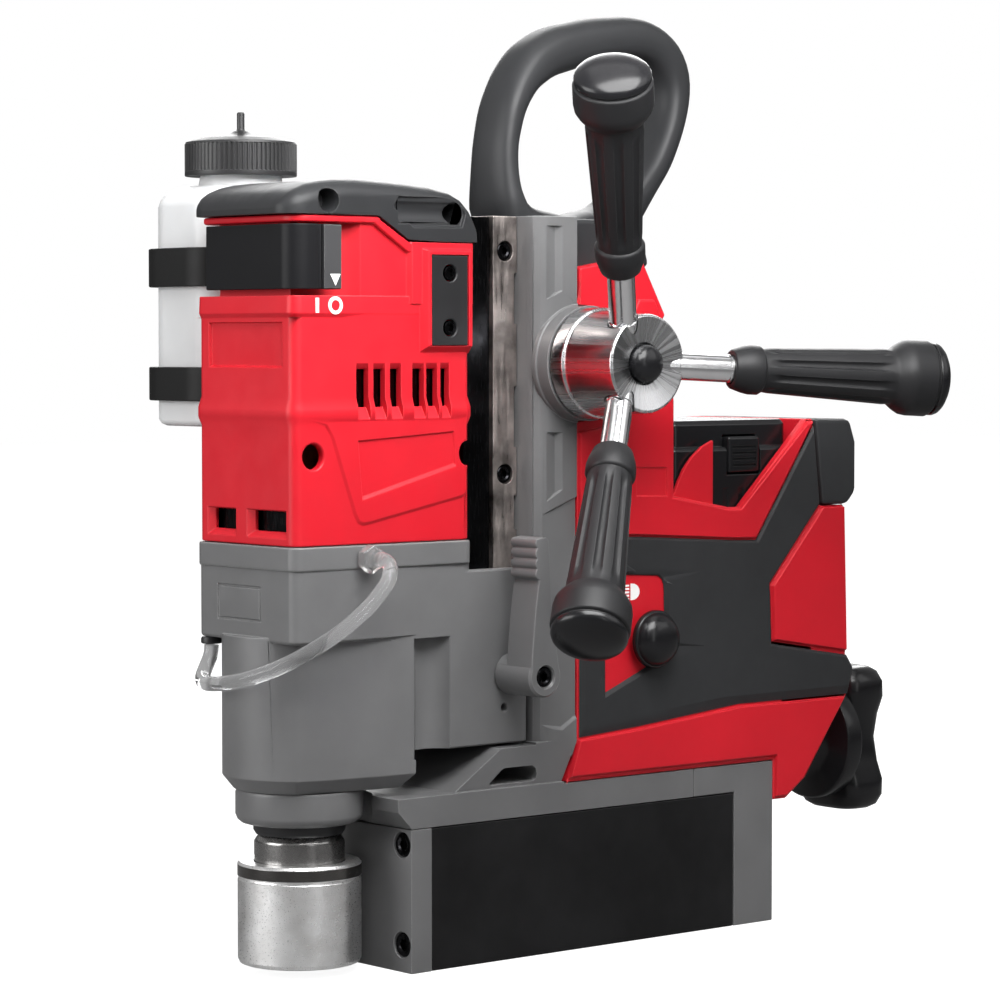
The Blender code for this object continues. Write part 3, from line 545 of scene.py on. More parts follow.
def start_finish(name, colour, roughness, metallic=0.0):
    material = bpy.data.materials.new(name)
    material.use_nodes = True
    tree = material.node_tree
    shader = tree.nodes["Principled BSDF"]
    shader.inputs["Base Color"].default_value = (*colour, 1.0)
    shader.inputs["Roughness"].default_value = roughness
    shader.inputs["Metallic"].default_value = metallic
    return material, tree, shader


def noise(tree, size, detail=3.0, stretch=(1.0, 1.0, 1.0)):
    """Noise with lumps about this many mm across, stretched along the axes."""
    where = add(tree, "TexCoord").outputs["Object"]
    mapping = add(tree, "Mapping", {"Vector": where, "Scale": tuple(1.0 / part for part in stretch)})
    made = add(tree, "TexNoise", {"Vector": mapping.outputs["Vector"], "Scale": 1.0 / (size * MM),
                                  "Detail": detail})
    return made.outputs["Fac"]


def spread(tree, value, low, high, start=0.3, end=0.7):
    """Map a noise's middle range onto a range of its own."""
    made = add(tree, "MapRange", {"Value": value, "From Min": start, "From Max": end, "To Min": low,
                                  "To Max": high})
    return made.outputs["Result"]


def blended(tree, amount, one, two):
    """A colour between two; each is a colour or another node's output."""
    made = add(tree, "Mix", {"Factor": amount}, data_type="RGBA")
    for name, colour in (("A_Color", one), ("B_Color", two)):
        socket = next(item for item in made.inputs if item.identifier == name)
        feed(tree, socket, colour if isinstance(colour, bpy.types.NodeSocket) else (*colour, 1.0))
    return next(item for item in made.outputs if item.identifier == "Result_Color")


def shaded(tree, value, colour, low, high):
    """A colour that drifts between two shades of itself, low and high times as bright."""
    darker, lighter = (tuple(min(1.0, part * factor) for part in colour) for factor in (low, high))
    return blended(tree, spread(tree, value, 0.0, 1.0), darker, lighter)


def bumped(tree, shader, *layers):
    """Stack bumps; each layer is (height, depth in mm)."""
    normal = None
    for height, depth in layers:
        bump = add(tree, "Bump", {"Height": height, "Strength": 1.0, "Distance": depth * MM})
        if normal:
            tree.links.new(normal, bump.inputs["Normal"])
        normal = bump.outputs["Normal"]
    tree.links.new(normal, shader.inputs["Normal"])


def painted_edge_highlight_mask(tree, radius):
    """1 on convex or concave edges and 0 on open faces: the mask for a highlight painted along the edges.
    """
    softened = add(tree, "Bevel", {"Radius": radius * MM}, samples=4).outputs["Normal"]
    plain = add(tree, "NewGeometry").outputs["Normal"]
    product = add(tree, "VectorMath", {0: softened, 1: plain}, operation="DOT_PRODUCT")
    return spread(tree, product.outputs["Value"], 1.0, 0.0, 0.86, 0.99)


def moulded(name, colour, roughness, grain=0.5, depth=0.012, mottle=0.06, highlight_colour=None, sheen=0.5,
            patchy=0.06):
    """Moulded or painted surface: fine grain, faint mottling and a lighter colour painted along the edges
    as a highlight.
    """
    material, tree, shader = start_finish(name, colour, roughness)
    shader.inputs["Specular IOR Level"].default_value = sheen
    base = shaded(tree, noise(tree, 26.0, 4.0), colour, 1.0 - mottle, 1.0 + mottle)
    # A lighter colour on the edges: a painted highlight where light catches them.
    if highlight_colour:
        base = blended(tree, painted_edge_highlight_mask(tree, 0.5), base, highlight_colour)
    feed(tree, shader.inputs["Base Color"], base)
    gloss = spread(tree, noise(tree, 9.0, 5.0), roughness - patchy, roughness + patchy)
    feed(tree, shader.inputs["Roughness"], gloss)
    bumped(tree, shader, (noise(tree, grain, 2.0), depth), (noise(tree, 14.0, 2.0), depth * 2.5))
    return material


def machined(name, colour, roughness, streak=(1.0, 1.0, 1.0), size=0.6, depth=0.004, spot=0.5):
    """Bare or blackened metal with tool marks along one way and cloudy patches."""
    material, tree, shader = start_finish(name, colour, roughness, 1.0)
    base = shaded(tree, noise(tree, 11.0, 5.0), colour, 1.0 - spot, 1.0 + spot)
    feed(tree, shader.inputs["Base Color"], base)
    marks = noise(tree, size, 4.0, streak)
    feed(tree, shader.inputs["Roughness"], spread(tree, marks, roughness * 0.7, roughness * 1.4))
    bumped(tree, shader, (marks, depth))
    return material


def spun(name, colour, roughness, axis, place):
    """Turned metal: fine rays run out from the axis, as light does on a lathe finish; in its roughness they
    are real, in its colour a painted reflection.
    """
    material, tree, shader = start_finish(name, colour, roughness, 1.0)
    shader.inputs["Anisotropic"].default_value = 0.55
    tangent = add(tree, "Tangent", direction_type="RADIAL", axis=axis)
    feed(tree, shader.inputs["Tangent"], tangent.outputs["Tangent"])
    vector = add(tree, "TexCoord").outputs["Object"]
    across = tuple(0.0 if letter == axis else 1.0 for letter in "XYZ")
    for step, value in (("SUBTRACT", INTO_FRAME @ Vector(place)), ("MULTIPLY", across),
                        ("NORMALIZE", across)):
        vector = add(tree, "VectorMath", {0: vector, 1: value}, operation=step).outputs["Vector"]
    rays = add(tree, "TexNoise", {"Vector": vector, "Scale": 9.0, "Detail": 5.0}).outputs["Fac"]
    # Rays in the colour: a painted reflection of the bands of light on the spun face.
    feed(tree, shader.inputs["Base Color"], shaded(tree, rays, colour, 0.80, 1.15))
    feed(tree, shader.inputs["Roughness"], spread(tree, rays, roughness * 0.7, roughness * 1.5))
    bumped(tree, shader, (noise(tree, 0.35, 3.0), 0.002))
    return material


def clear_finish(name, colour, roughness, transmission, bending):
    """Clear plastic, slightly clouded; bending is its index of refraction."""
    material, tree, shader = start_finish(name, colour, roughness)
    shader.inputs["Transmission Weight"].default_value = transmission
    shader.inputs["IOR"].default_value = bending
    cloudy = spread(tree, noise(tree, 5.0, 3.0), roughness * 0.6, roughness * 1.6)
    feed(tree, shader.inputs["Roughness"], cloudy)
    feed(tree, shader.inputs["Base Color"], shaded(tree, noise(tree, 7.0), colour, 0.94, 1.04))
    bumped(tree, shader, (noise(tree, 4.0, 2.0), 0.02))
    return material


def milky_finish(name, colour, roughness):
    """Blow-moulded bottle wall: light soaks in and spreads."""
    material, tree, shader = start_finish(name, colour, roughness)
    shader.inputs["Subsurface Weight"].default_value = 0.35
    shader.inputs["Subsurface Radius"].default_value = (0.9, 0.95, 1.0)
    shader.inputs["Subsurface Scale"].default_value = 0.012
    feed(tree, shader.inputs["Base Color"], shaded(tree, noise(tree, 30.0, 3.0), colour, 0.95, 1.04))
    gloss = spread(tree, noise(tree, 3.0, 4.0), roughness - 0.08, roughness + 0.08)
    feed(tree, shader.inputs["Roughness"], gloss)
    bumped(tree, shader, (noise(tree, 0.8, 2.0), 0.02), (noise(tree, 18.0, 2.0), 0.25))
    return material


RED = (0.55, 0.010, 0.020)
# Colour, roughness, grain and its depth in mm, mottling, colour of the painted edge highlight, sheen,
# patchiness
MOULDED = {
    "red_plastic": (RED, 0.42, 0.45, 0.010, 0.04, (0.70, 0.05, 0.06), 0.28),
    "grey_casting": ((0.130, 0.130, 0.132), 0.40, 0.55, 0.018, 0.08, (0.26, 0.26, 0.26)),
    "dark_overmould": ((0.022, 0.0225, 0.024), 0.62, 0.40, 0.030, 0.10, (0.05, 0.05, 0.052), 0.3),
    "satin_cover": ((0.022, 0.0225, 0.024), 0.42, 0.40, 0.012, 0.06, (0.05, 0.05, 0.05), 0.24),
    "black_plastic": ((0.012, 0.012, 0.013), 0.42, 0.40, 0.012, 0.10, (0.03, 0.03, 0.032), 0.4),
    "gloss_black": ((0.008, 0.008, 0.009), 0.24, 0.50, 0.004, 0.10, (0.02, 0.02, 0.02), 0.34, 0.02),
    "satin_black": ((0.008, 0.008, 0.009), 0.42, 0.35, 0.006, 0.05, (0.02, 0.02, 0.02), 0.13, 0.02),
    "cap_black": ((0.022, 0.022, 0.023), 0.40, 0.40, 0.008, 0.06, (0.05, 0.05, 0.05), 0.36, 0.03),
    "strap_black": ((0.007, 0.007, 0.007), 0.50, 0.40, 0.008, 0.06, (0.012, 0.012, 0.012), 0.2, 0.03),
    "switch_grey": ((0.042, 0.042, 0.044), 0.40, 0.35, 0.006, 0.05, (0.16, 0.16, 0.16), 0.4, 0.02),
    "handle_rubber": ((0.020, 0.0205, 0.022), 0.47, 0.50, 0.014, 0.08, (0.040, 0.040, 0.042), 0.30, 0.04),
    "dark_rubber": ((0.013, 0.013, 0.014), 0.46, 0.45, 0.025, 0.12, (0.035, 0.035, 0.036), 0.26),
    "black_magnet": ((0.010, 0.010, 0.0105), 0.55, 0.9, 0.030, 0.30, (0.03, 0.03, 0.03), 0.15),
    "white_plastic": ((0.80, 0.81, 0.82), 0.40),
    "white_mark": ((0.88, 0.87, 0.86), 0.45, 0.5, 0.004, 0.02),
    "board": ((0.02, 0.16, 0.06), 0.40, 0.8, 0.02, 0.2),
}
# Colour, roughness, stretch of the tool marks, their size and depth in mm, cloudiness
MACHINED = {
    "bright_steel": ((0.62, 0.61, 0.60), 0.24, (1.0, 1.0, 0.06), 0.9, 0.004, 0.12),
    # A darker copy of bright_steel for the spindle: the shade under the nose painted into its colour.
    "shaded_spindle_steel": ((0.26, 0.255, 0.25), 0.24, (1.0, 1.0, 0.06), 0.9, 0.004, 0.15),
    "knurled_steel": ((0.93, 0.92, 0.91), 0.34, (1.0, 1.0, 1.0), 0.5, 0.004, 0.15),
    "dark_ring": ((0.12, 0.115, 0.11), 0.20, (6.0, 6.0, 0.2), 0.5, 0.002, 0.25),
    "dark_steel": ((0.50, 0.445, 0.42), 0.36, (1.0, 1.0, 9.0), 1.6, 0.006, 0.60),
    "black_steel": ((0.022, 0.022, 0.024), 0.22, (1.0, 1.0, 8.0), 0.8, 0.003, 0.30),
    "polished_aluminium": ((0.80, 0.80, 0.81), 0.16, (1.0, 1.0, 1.0), 0.5, 0.002, 0.05),
    "copper_winding": ((0.62, 0.28, 0.13), 0.35, (1.0, 1.0, 0.1), 0.8, 0.05, 0.2),
}
FINISHES = {
    "bottle_white": milky_finish("bottle_white", (0.66, 0.665, 0.67), 0.42),
    "clear_tube": clear_finish("clear_tube", (0.97, 0.975, 0.98), 0.045, 0.93, 1.22),
    "clear_plastic": clear_finish("clear_plastic", (0.90, 0.90, 0.90), 0.06, 0.90, 1.42),
    "spun_aluminium": spun("spun_aluminium", (0.60, 0.60, 0.61), 0.25, "X", (0, FEED_Y, FEED_Z)),
}
FINISHES.update({name: moulded(name, *values) for name, values in MOULDED.items()})
FINISHES.update({name: machined(name, *values) for name, values in MACHINED.items()})


# ---------------------------------------------------------------- floor, lights and surroundings

def for_the_eye(tree, lit, seen, end):
    """Show one shader to the eye, and let another one light the scene."""
    rays = add(tree, "LightPath")
    mixed = add(tree, "MixShader", {"Fac": rays.outputs["Is Camera Ray"], 1: lit, 2: seen})
    tree.links.new(mixed.outputs["Shader"], tree.nodes[end].inputs["Surface"])


def make_floor():
    """A pale floor, near white to the eye and duller in the light it throws back up."""
    material, tree, shader = start_finish("floor", (0.9, 0.9, 0.9), 0.9)
    shader.inputs["Emission Color"].default_value = (1.0, 1.0, 1.0, 1.0)
    shader.inputs["Emission Strength"].default_value = 0.93
    patches = spread(tree, noise(tree, 300.0), 0.0, 1.0)
    feed(tree, shader.inputs["Base Color"], blended(tree, patches, (0.19, 0.19, 0.19), (0.21, 0.21, 0.21)))
    dull = add(tree, "BsdfDiffuse", {"Color": (0.22, 0.22, 0.22, 1.0)})
    for_the_eye(tree, dull.outputs["BSDF"], shader.outputs["BSDF"], "Material Output")
    build = block((-6000, -6000, -20), (6000, 6000, 0))
    bmesh.ops.transform(build, matrix=INTO_FRAME, verts=build.verts)
    floor = holding(build)
    floor.name = "floor"
    floor.data.name = "floor"
    floor.data.materials.append(material)


def make_softbox(name, place, target, width, height, power):
    data = bpy.data.lights.new(name, "AREA")
    data.shape = "RECTANGLE"
    data.size = width
    data.size_y = height
    data.energy = power
    lamp = linked(name, data)
    lamp.location = place
    lamp.rotation_euler = (Vector(target) - Vector(place)).to_track_quat("-Z", "Y").to_euler()
    lamp.visible_camera = False


def make_world():
    """White behind the machine; a banded grey room in what shines on it and shows in its metal."""
    world = bpy.data.worlds.new("studio")
    bpy.context.scene.world = world
    world.use_nodes = True
    tree = world.node_tree
    bands = ((0.0, 0.12), (0.40, 0.14), (0.49, 0.07), (0.55, 0.12), (0.60, 0.50), (0.78, 0.60), (1.0, 0.30))
    parts = add(tree, "SeparateXYZ", {"Vector": add(tree, "TexCoord").outputs["Generated"]})
    height = add(tree, "MapRange", {"Value": parts.outputs["Z"], "From Min": -1.0})
    ramp = add(tree, "ValToRGB", {"Fac": height.outputs["Result"]})
    ramp.color_ramp.elements[0].position = bands[0][0]
    ramp.color_ramp.elements[1].position = bands[-1][0]
    for position, _ in bands[1:-1]:
        ramp.color_ramp.elements.new(position)
    for element, (_, level) in zip(ramp.color_ramp.elements, bands):
        element.color = (level, level, level, 1.0)
    room = tree.nodes["Background"]
    room.inputs["Strength"].default_value = 0.7
    feed(tree, room.inputs["Color"], ramp.outputs["Color"])
    white = add(tree, "Background", {"Color": (1.0, 1.0, 1.0, 1.0), "Strength": 1.0})
    for_the_eye(tree, room.outputs["Background"], white.outputs["Background"], "World Output")


def make_lights():
    focus = (0.0, 0.0, 0.17)
    make_softbox("key", (0.95, 0.62, 0.95), focus, 0.9, 0.9, 3.5)
    make_softbox("side", (0.27, -0.15, 0.50), (0.035, -0.07, 0.28), 0.36, 0.26, 3.9)
    make_softbox("fill", (-0.42, -1.5, 0.50), focus, 1.0, 0.8, 15.0)
    make_softbox("overhead", (0.1, -0.1, 1.6), focus, 1.2, 1.2, 5.0)
    make_softbox("strip", (1.7, -0.25, 0.45), focus, 0.2, 1.2, 2.0)
    make_softbox("rear", (-1.1, 0.9, 0.9), focus, 1.0, 1.0, 16.0)
    bpy.context.scene.view_settings.view_transform = "Standard"


# ---------------------------------------------------------------- magnet and base

def socket_screw(head, top, under, shank, end, socket, matrix, depth=2.0):
    """A cap screw, its head from under to top, with a six-sided socket; local Z points out."""
    body = lathe([(shank, end), (shank, under), (head - 0.3, under), (head, under + 0.3),
                  (head, top - 0.5), (head - 0.5, top)], matrix, 40)
    hole = lathe([(socket, top - depth), (socket, top + 1)], matrix, 6)
    lead = lathe([(socket * 0.98, top - 0.5), (socket * 1.35, top + 0.1)], matrix, 24)
    return without(body, [hole, lead])


def make_magnet():
    corners = [(x, z) for x in (-31.8, 31.8) for z in (11.1, 51.5)]
    front, rear = PLATE_REAR + GAP, REAR_PLATE_FRONT - GAP
    body = block((-MAGNET_HALF, front, 0), (MAGNET_HALF, rear, MAGNET_TOP))
    stand_in("magnet_body", shape(body, cut=[rod(18.6, "Y", (0, 0, ROTOR_Z), 60, rear + 5)], edge=0.7),
             "black_magnet")
    plate = block((-BASE_HALF, MAGNET_FRONT, 0), (BASE_HALF, PLATE_REAR, MAGNET_TOP))
    sink = [(5.7, 20), (5.3, MAGNET_FRONT + 0.8), (2.9, MAGNET_FRONT + 3.6), (2.9, 45)]
    sinks = [lathe(sink, along("Y", (x, 0, z)), 40) for x, z in corners]
    stand_in("magnet_front_plate", shape(plate, cut=sinks, edge=0.3), "grey_casting")
    for number, (x, z) in enumerate(corners, 1):
        outwards = Matrix.Translation((x, MAGNET_FRONT, z)) @ Matrix.Rotation(math.pi / 2, 4, "X")
        screw = socket_screw(4.9, -0.4, -2.4, 2.5, -23.0, 2.4, outwards)
        stand_in(f"front_plate_screw_{number}", screw, "black_steel")
    side = [(REAR_PLATE_FRONT, 0), (MAGNET_REAR, 0), (MAGNET_REAR, RAIL_TOP), (RAIL_SPLIT, RAIL_TOP),
            (RAIL_SPLIT, MAGNET_TOP + GAP), (REAR_PLATE_FRONT, MAGNET_TOP + GAP)]
    rear_plate = prism(side, "X", -BASE_HALF, BASE_HALF)
    inside = [rod(27.6, "Y", (0, 0, ROTOR_Z), 210.5, 221.5), rod(6.4, "Y", (0, 0, ROTOR_Z), 200, 211),
              block((-17.4, 210.5, 51.5), (17.4, 221.5, RAIL_TOP + 5)),
              rod(5.4, "Y", (0, 0, LEVER_Z), 177, MAGNET_REAR + 5)]
    stand_in("magnet_rear_plate", shape(rear_plate, cut=inside, edge=0.6), "grey_casting")


def make_frame_casting():
    side = [(MAGNET_FRONT + 0.3, MAGNET_TOP + GAP), (RAIL_NOSE + 0.4, 65.5), (RAIL_NOSE, RAIL_TOP + 0.7),
            (51, RAIL_TOP + 0.7), (74.5, COLUMN_FOOT), (COLUMN_FRONT, COLUMN_FOOT), (COLUMN_FRONT, 130),
            (COLUMN_REAR, 130), (COLUMN_REAR, COLUMN_FOOT), (108.5, RAIL_TOP), (RAIL_SPLIT - GAP, RAIL_TOP),
            (RAIL_SPLIT - GAP, MAGNET_TOP + GAP)]
    base = prism(side, "X", -BASE_HALF, BASE_HALF)
    corner = [(30.5, COLUMN_FRONT), (34.4, 94.4), (36.6, 96.6), (37.6, 99.8), (38, 103.5)]
    plan = mirrored([(RACK_SLOT_HALF, COLUMN_FRONT)] + corner + [(38, COLUMN_REAR)])
    plan = [(RACK_SLOT_HALF, RACK_SLOT_REAR)] + plan + [(-RACK_SLOT_HALF, RACK_SLOT_REAR)]
    column = prism(plan, "Z", 100, COLUMN_TOP)
    boss = without(rod(BOSS_RADIUS, "X", (0, FEED_Y, FEED_Z), -41, HUB_START - GAP, 72),
                   [block((-37.4, 80, 200), (37.4, 100, 290))])
    fillet = lathe([(BOSS_RADIUS + 0.7, 36), (BOSS_RADIUS + 0.7, 38.2), (BOSS_RADIUS + 0.2, 38.6),
                    (BOSS_RADIUS - 0.1, 39.2)], along("X", (0, FEED_Y, FEED_Z)), 72)
    fillet = without(fillet, [block((30, COLUMN_REAR - 0.05, 200), (50, 160, 300))])
    trim = [(29, COLUMN_FRONT - 1), (39, COLUMN_FRONT - 1)] + corner[::-1]
    arch_lean = [(BASE_HALF + 0.01, COLUMN_FOOT + 0.6), (40, COLUMN_FOOT + 0.6), (40, RAIL_TOP + 0.8),
                 (36.4, RAIL_TOP + 0.8)]
    slot = [(69.5, 73.2), (75.5, 78.2), (77.5, 79), (92.0, 79), (94.2, 77.6), (94.8, 75.4), (94.4, 73.4),
            (93, 72.6), (70.5, 72.6)]
    pocket_plan = [(39, 97.2), (38.02, 97.2), (36.1, 105.0), (38.02, 107.8), (39, 107.8)]
    upper_ends = [(97, 269.9), (108.5, 274.9), (108.5, 301), (97, 301)]
    lower_ends = [(97, 186.4), (109.5, 193.4), (109.5, 216), (97, 216)]
    pockets = [combined(prism(pocket_plan, "Z", 180, 303), "INTERSECT", [prism(ends, "X", 30, 40)])
               for ends in (upper_ends, lower_ends)]
    foot_outer = [(97.4, 92.6), (108.2, 91.2), (COLUMN_REAR + 1, 96), (COLUMN_REAR + 1, 189.5),
                  (108.6, 187), (97.4, 182.6)]
    foot = prism(foot_outer, "X", 39, 37.0, [2.6, 2.6, 0, 0, 0.4, 0.2])
    cuts = [rod(29.5, "Z", (0, 0, 0), 50, RAIL_TOP + 10, 96),
            prism(trim, "Z", COLUMN_FOOT + 1, 131), flipped(prism(trim, "Z", COLUMN_FOOT + 1, 131)),
            prism(arch_lean, "Y", 45, 113.2), flipped(prism(arch_lean, "Y", 45, 113.2)),
            block((-RACK_SLOT_HALF, 80, COLUMN_FOOT + 2), (RACK_SLOT_HALF, RACK_SLOT_REAR, COLUMN_TOP + 5)),
            prism(slot, "X", -50, 50),
            rod(PINION_WAY, "X", (0, FEED_Y, FEED_Z), -9.2, HUB_START + 5, 72),
            rod(8.3, "X", (0, FEED_Y, FEED_Z), -39, 0)]
    for pocket in pockets + [foot]:
        cuts += both(pocket)
    casting = shape(base, join=[column, boss, fillet], cut=cuts, edge=0.35)
    stand_in("frame_casting", casting, "grey_casting")


def make_gibs():
    """Two rails on the column's front, each with shallow slots along its outer rear edge."""
    slots = ((176, 190), (210, 235), (260.8, 281.5))
    for side, sign in (("right", 1), ("left", -1)):
        plan = [(sign * 10.3, GIB_FRONT), (sign * GIB_HALF, GIB_FRONT),
                (sign * GIB_HALF, COLUMN_FRONT - GAP), (sign * 13.9, COLUMN_FRONT - GAP)]
        cuts = [rod(4.1, "X", (0, GIB_SCREW_Y, height), *sorted((sign * 19.0, sign * 28.0)))
                for height in GIB_SCREW_HEIGHTS.values()]
        for low, high in slots:
            ends = sorted((sign * (GIB_HALF - 3), sign * (GIB_HALF + 1)))
            cuts.append(block((ends[0], 91.8, low), (ends[1], 94, high)))
        rail = shape(prism(plan, "Z", GIB_FOOT, COLUMN_TOP), cut=cuts, edge=0.5)
        stand_in(f"gib_rail_{side}", rail, "dark_steel")
        for level, height in GIB_SCREW_HEIGHTS.items():
            outwards = Matrix.Translation((0, GIB_SCREW_Y, height)) @ Matrix.Rotation(sign * math.pi / 2,
                    4, "Y")
            stand_in(f"gib_screw_{side}_{level}", socket_screw(3.7, 25.4, 20.5, 2.0, 19.3, 1.9, outwards),
                     "black_steel")


# ---------------------------------------------------------------- handle and rear housing

HANDLE_OUTER = [(98, 305.3), (97.6, 320), (97.8, 334), (101, 352), (107, 366), (116, 378), (130, 386),
                (152, 391), (176, 393.5), (190, 391), (202, 383), (208, 371), (207.5, 358), (203, 343),
                (196, 328), (186, 315), (177, 302), (168, 293), (150, 288), (125, 290), (104, 296)]
HANDLE_INNER = [(111, 311), (108.5, 322), (109, 336), (113, 349), (120, 358.5), (131, 365), (150, 370.5),
                (172, 374.5), (184, 374), (191, 369), (194.5, 361), (192, 348), (184, 333), (172, 320),
                (158, 311), (138, 307)]
HANDLE_CENTRE = (150.0, 338.0)


def reach(outline, centre, angle):
    """How far a closed outline lies from a centre inside it, in one direction."""
    way = Vector((math.cos(angle), math.sin(angle)))
    best = 0.0
    for start, end in zip(outline, outline[1:] + outline[:1]):
        one = Vector(start) - Vector(centre)
        side = Vector(end) - Vector(start)
        cross = way.x * side.y - way.y * side.x
        if abs(cross) < 1e-9:
            continue
        share = (one.x * way.y - one.y * way.x) / cross
        distance = (one.x * side.y - one.y * side.x) / cross
        if -1e-6 <= share <= 1.0 + 1e-6:
            best = max(best, distance)
    return best


def smoothed(values, times):
    """Even out a closed row of numbers."""
    for _ in range(times):
        after = values[1:] + values[:1]
        values = [(values[i - 1] + 2 * values[i] + after[i]) / 4 for i in range(len(values))]
    return values


def make_carry_handle():
    """A closed D-shaped grip swept round its loop, on a saddle behind the column."""
    stations = 96
    angles = [2.0 * math.pi * step / stations for step in range(stations)]
    outer = smoothed([reach(HANDLE_OUTER, HANDLE_CENTRE, angle) for angle in angles], 3)
    inner = smoothed([reach(HANDLE_INNER, HANDLE_CENTRE, angle) for angle in angles], 3)
    rings = []
    for angle, far, near in zip(angles, outer, inner):
        ring = []
        below = (338.0 - HANDLE_CENTRE[1] - far * math.sin(angle)) / 30.0
        foot = max(0.0, min(1.0, below)) if math.cos(angle) < 0 else 0.0
        for across, out in oval(12.4, 0.5, 2.7, 32):
            distance = (far + near) / 2 + out * (far - near)
            ring.append((across * (1.0 + 0.24 * foot * foot), HANDLE_CENTRE[0] + distance * math.cos(angle),
                         HANDLE_CENTRE[1] + distance * math.sin(angle)))
        rings.append(ring)
    grip = loft(rings, closed=True)
    saddle = [(COLUMN_REAR + GAP, 276), (150, 278), (164, 286), (160, 300), (148, 304.5),
              (COLUMN_REAR + GAP, 304.5)]
    saddle = bevelled(prism(saddle, "X", -30, 30), 2.0, 3)
    trims = [block((-50, 60, 250), (50, COLUMN_REAR + GAP, COLUMN_TOP + GAP))]
    stand_in("carry_handle", without(united(grip, [saddle]), trims), "handle_rubber", 50.0)


SHELL_SIDE = [(110.2, RAIL_TOP + GAP), (COLUMN_REAR + GAP, 85), (COLUMN_REAR + GAP, 272), (128, 272.5),
              (149, 274), (157, 276), (164, 263), (170.5, 229), (170.5, 188), (204, 182), (210, 182),
              (250, 219.5), (254, 219.5), (258.8, 181), (273.5, 181), (276.2, 96.3), (250.7, 61.4),
              (238.5, 53.1), (MAGNET_REAR + GAP, 53.1), (MAGNET_REAR + GAP, RAIL_TOP + GAP)]
SHELL_CAVITY = [(119.6, 74), (119.6, 268), (147, 270), (153, 270), (161, 262), (167.3, 228), (167.3, 186),
                (171, 186), (171, 240), (250.6, 240), (250.6, 178), (270, 178), (272.8, 97.5),
                (248.6, 64.3), (238, 57), (234, 57), (234, 74)]
OVERMOULD_SIDE = [(COLUMN_REAR + 0.8, 88.6), (151, 91), (209, 96.5), (276.4, 96.6), (279.7, 108.5),
                  (275.6, 114.3), (228.5, 121.8), (227.4, 147.8), (258.2, 181.6), (254.2, 217),
                  (219, 167.6), (205, 168), (151, 171.4), (COLUMN_REAR + 0.8, 172.6)]
SIDE_PANEL = [(229.2, 122.6), (275.4, 115.3), (273.4, 180.8), (258.7, 180.8), (228.1, 147.4)]
TOP_BAND = [(116.4, 173.4), (151, 172.2), (205, 168.8), (218.5, 168.4), (253.6, 218.2), (250.2, 218.2),
            (209.6, 181.6), (204, 181.6), (169.5, 187.8), (169.5, 228), (163, 262), (158, 271), (149, 271),
            (144.4, 262), (144.4, 220), (116.4, 216)]
LOWER_PANEL = [(116.4, 87.8), (110.8, 71.5), (230.9, 71.5), (230.9, 54), (238.3, 54), (250, 61.8),
               (275.6, 95.6), (209, 95.6), (151, 90.1)]
LAMP_WINDOW = [(131.5, 107), (161.6, 119.2), (164.4, 121.6), (165, 124.6), (164.2, 150.4), (163.2, 152.8),
               (161.0, 154.2), (131.5, 156)]
WINDOW_SILL = [(125.4, 105.3), (189.9, 123), (166.0, 126.0), (128.5, 114)]
SILL_INNER = [(127.9, 112.3), (165.6, 124.2), (164.6, 125.6), (128.2, 114)]
WINDOW_BROW = [(140.5, 161.5), (188, 155.7), (166.0, 151.4), (158.8, 151.0)]
BROW_INNER = [(141.5, 157.4), (164.6, 153.8), (163.8, 152.2), (158.0, 151.6)]
NECK_CHEEK = [(117.0, 268), (117.0, 284), (140, 287.6), (152.0, 288), (165.4, 264.6), (160, 258),
              (140, 262)]
GUARD_FIN = [(170.0, 186.0), (173.0, 190.4), (174.8, 194.0), (178.0, 199.2), (182.4, 204.0), (188.4, 208.4),
             (195.0, 211.2), (195.0, 182.8)]
BUMPER_SIDE = [(254.5, 219.6), (276.5, 219.2), (280.3, 209), (280.3, 187), (275.5, 181.4), (259.2, 181.4)]


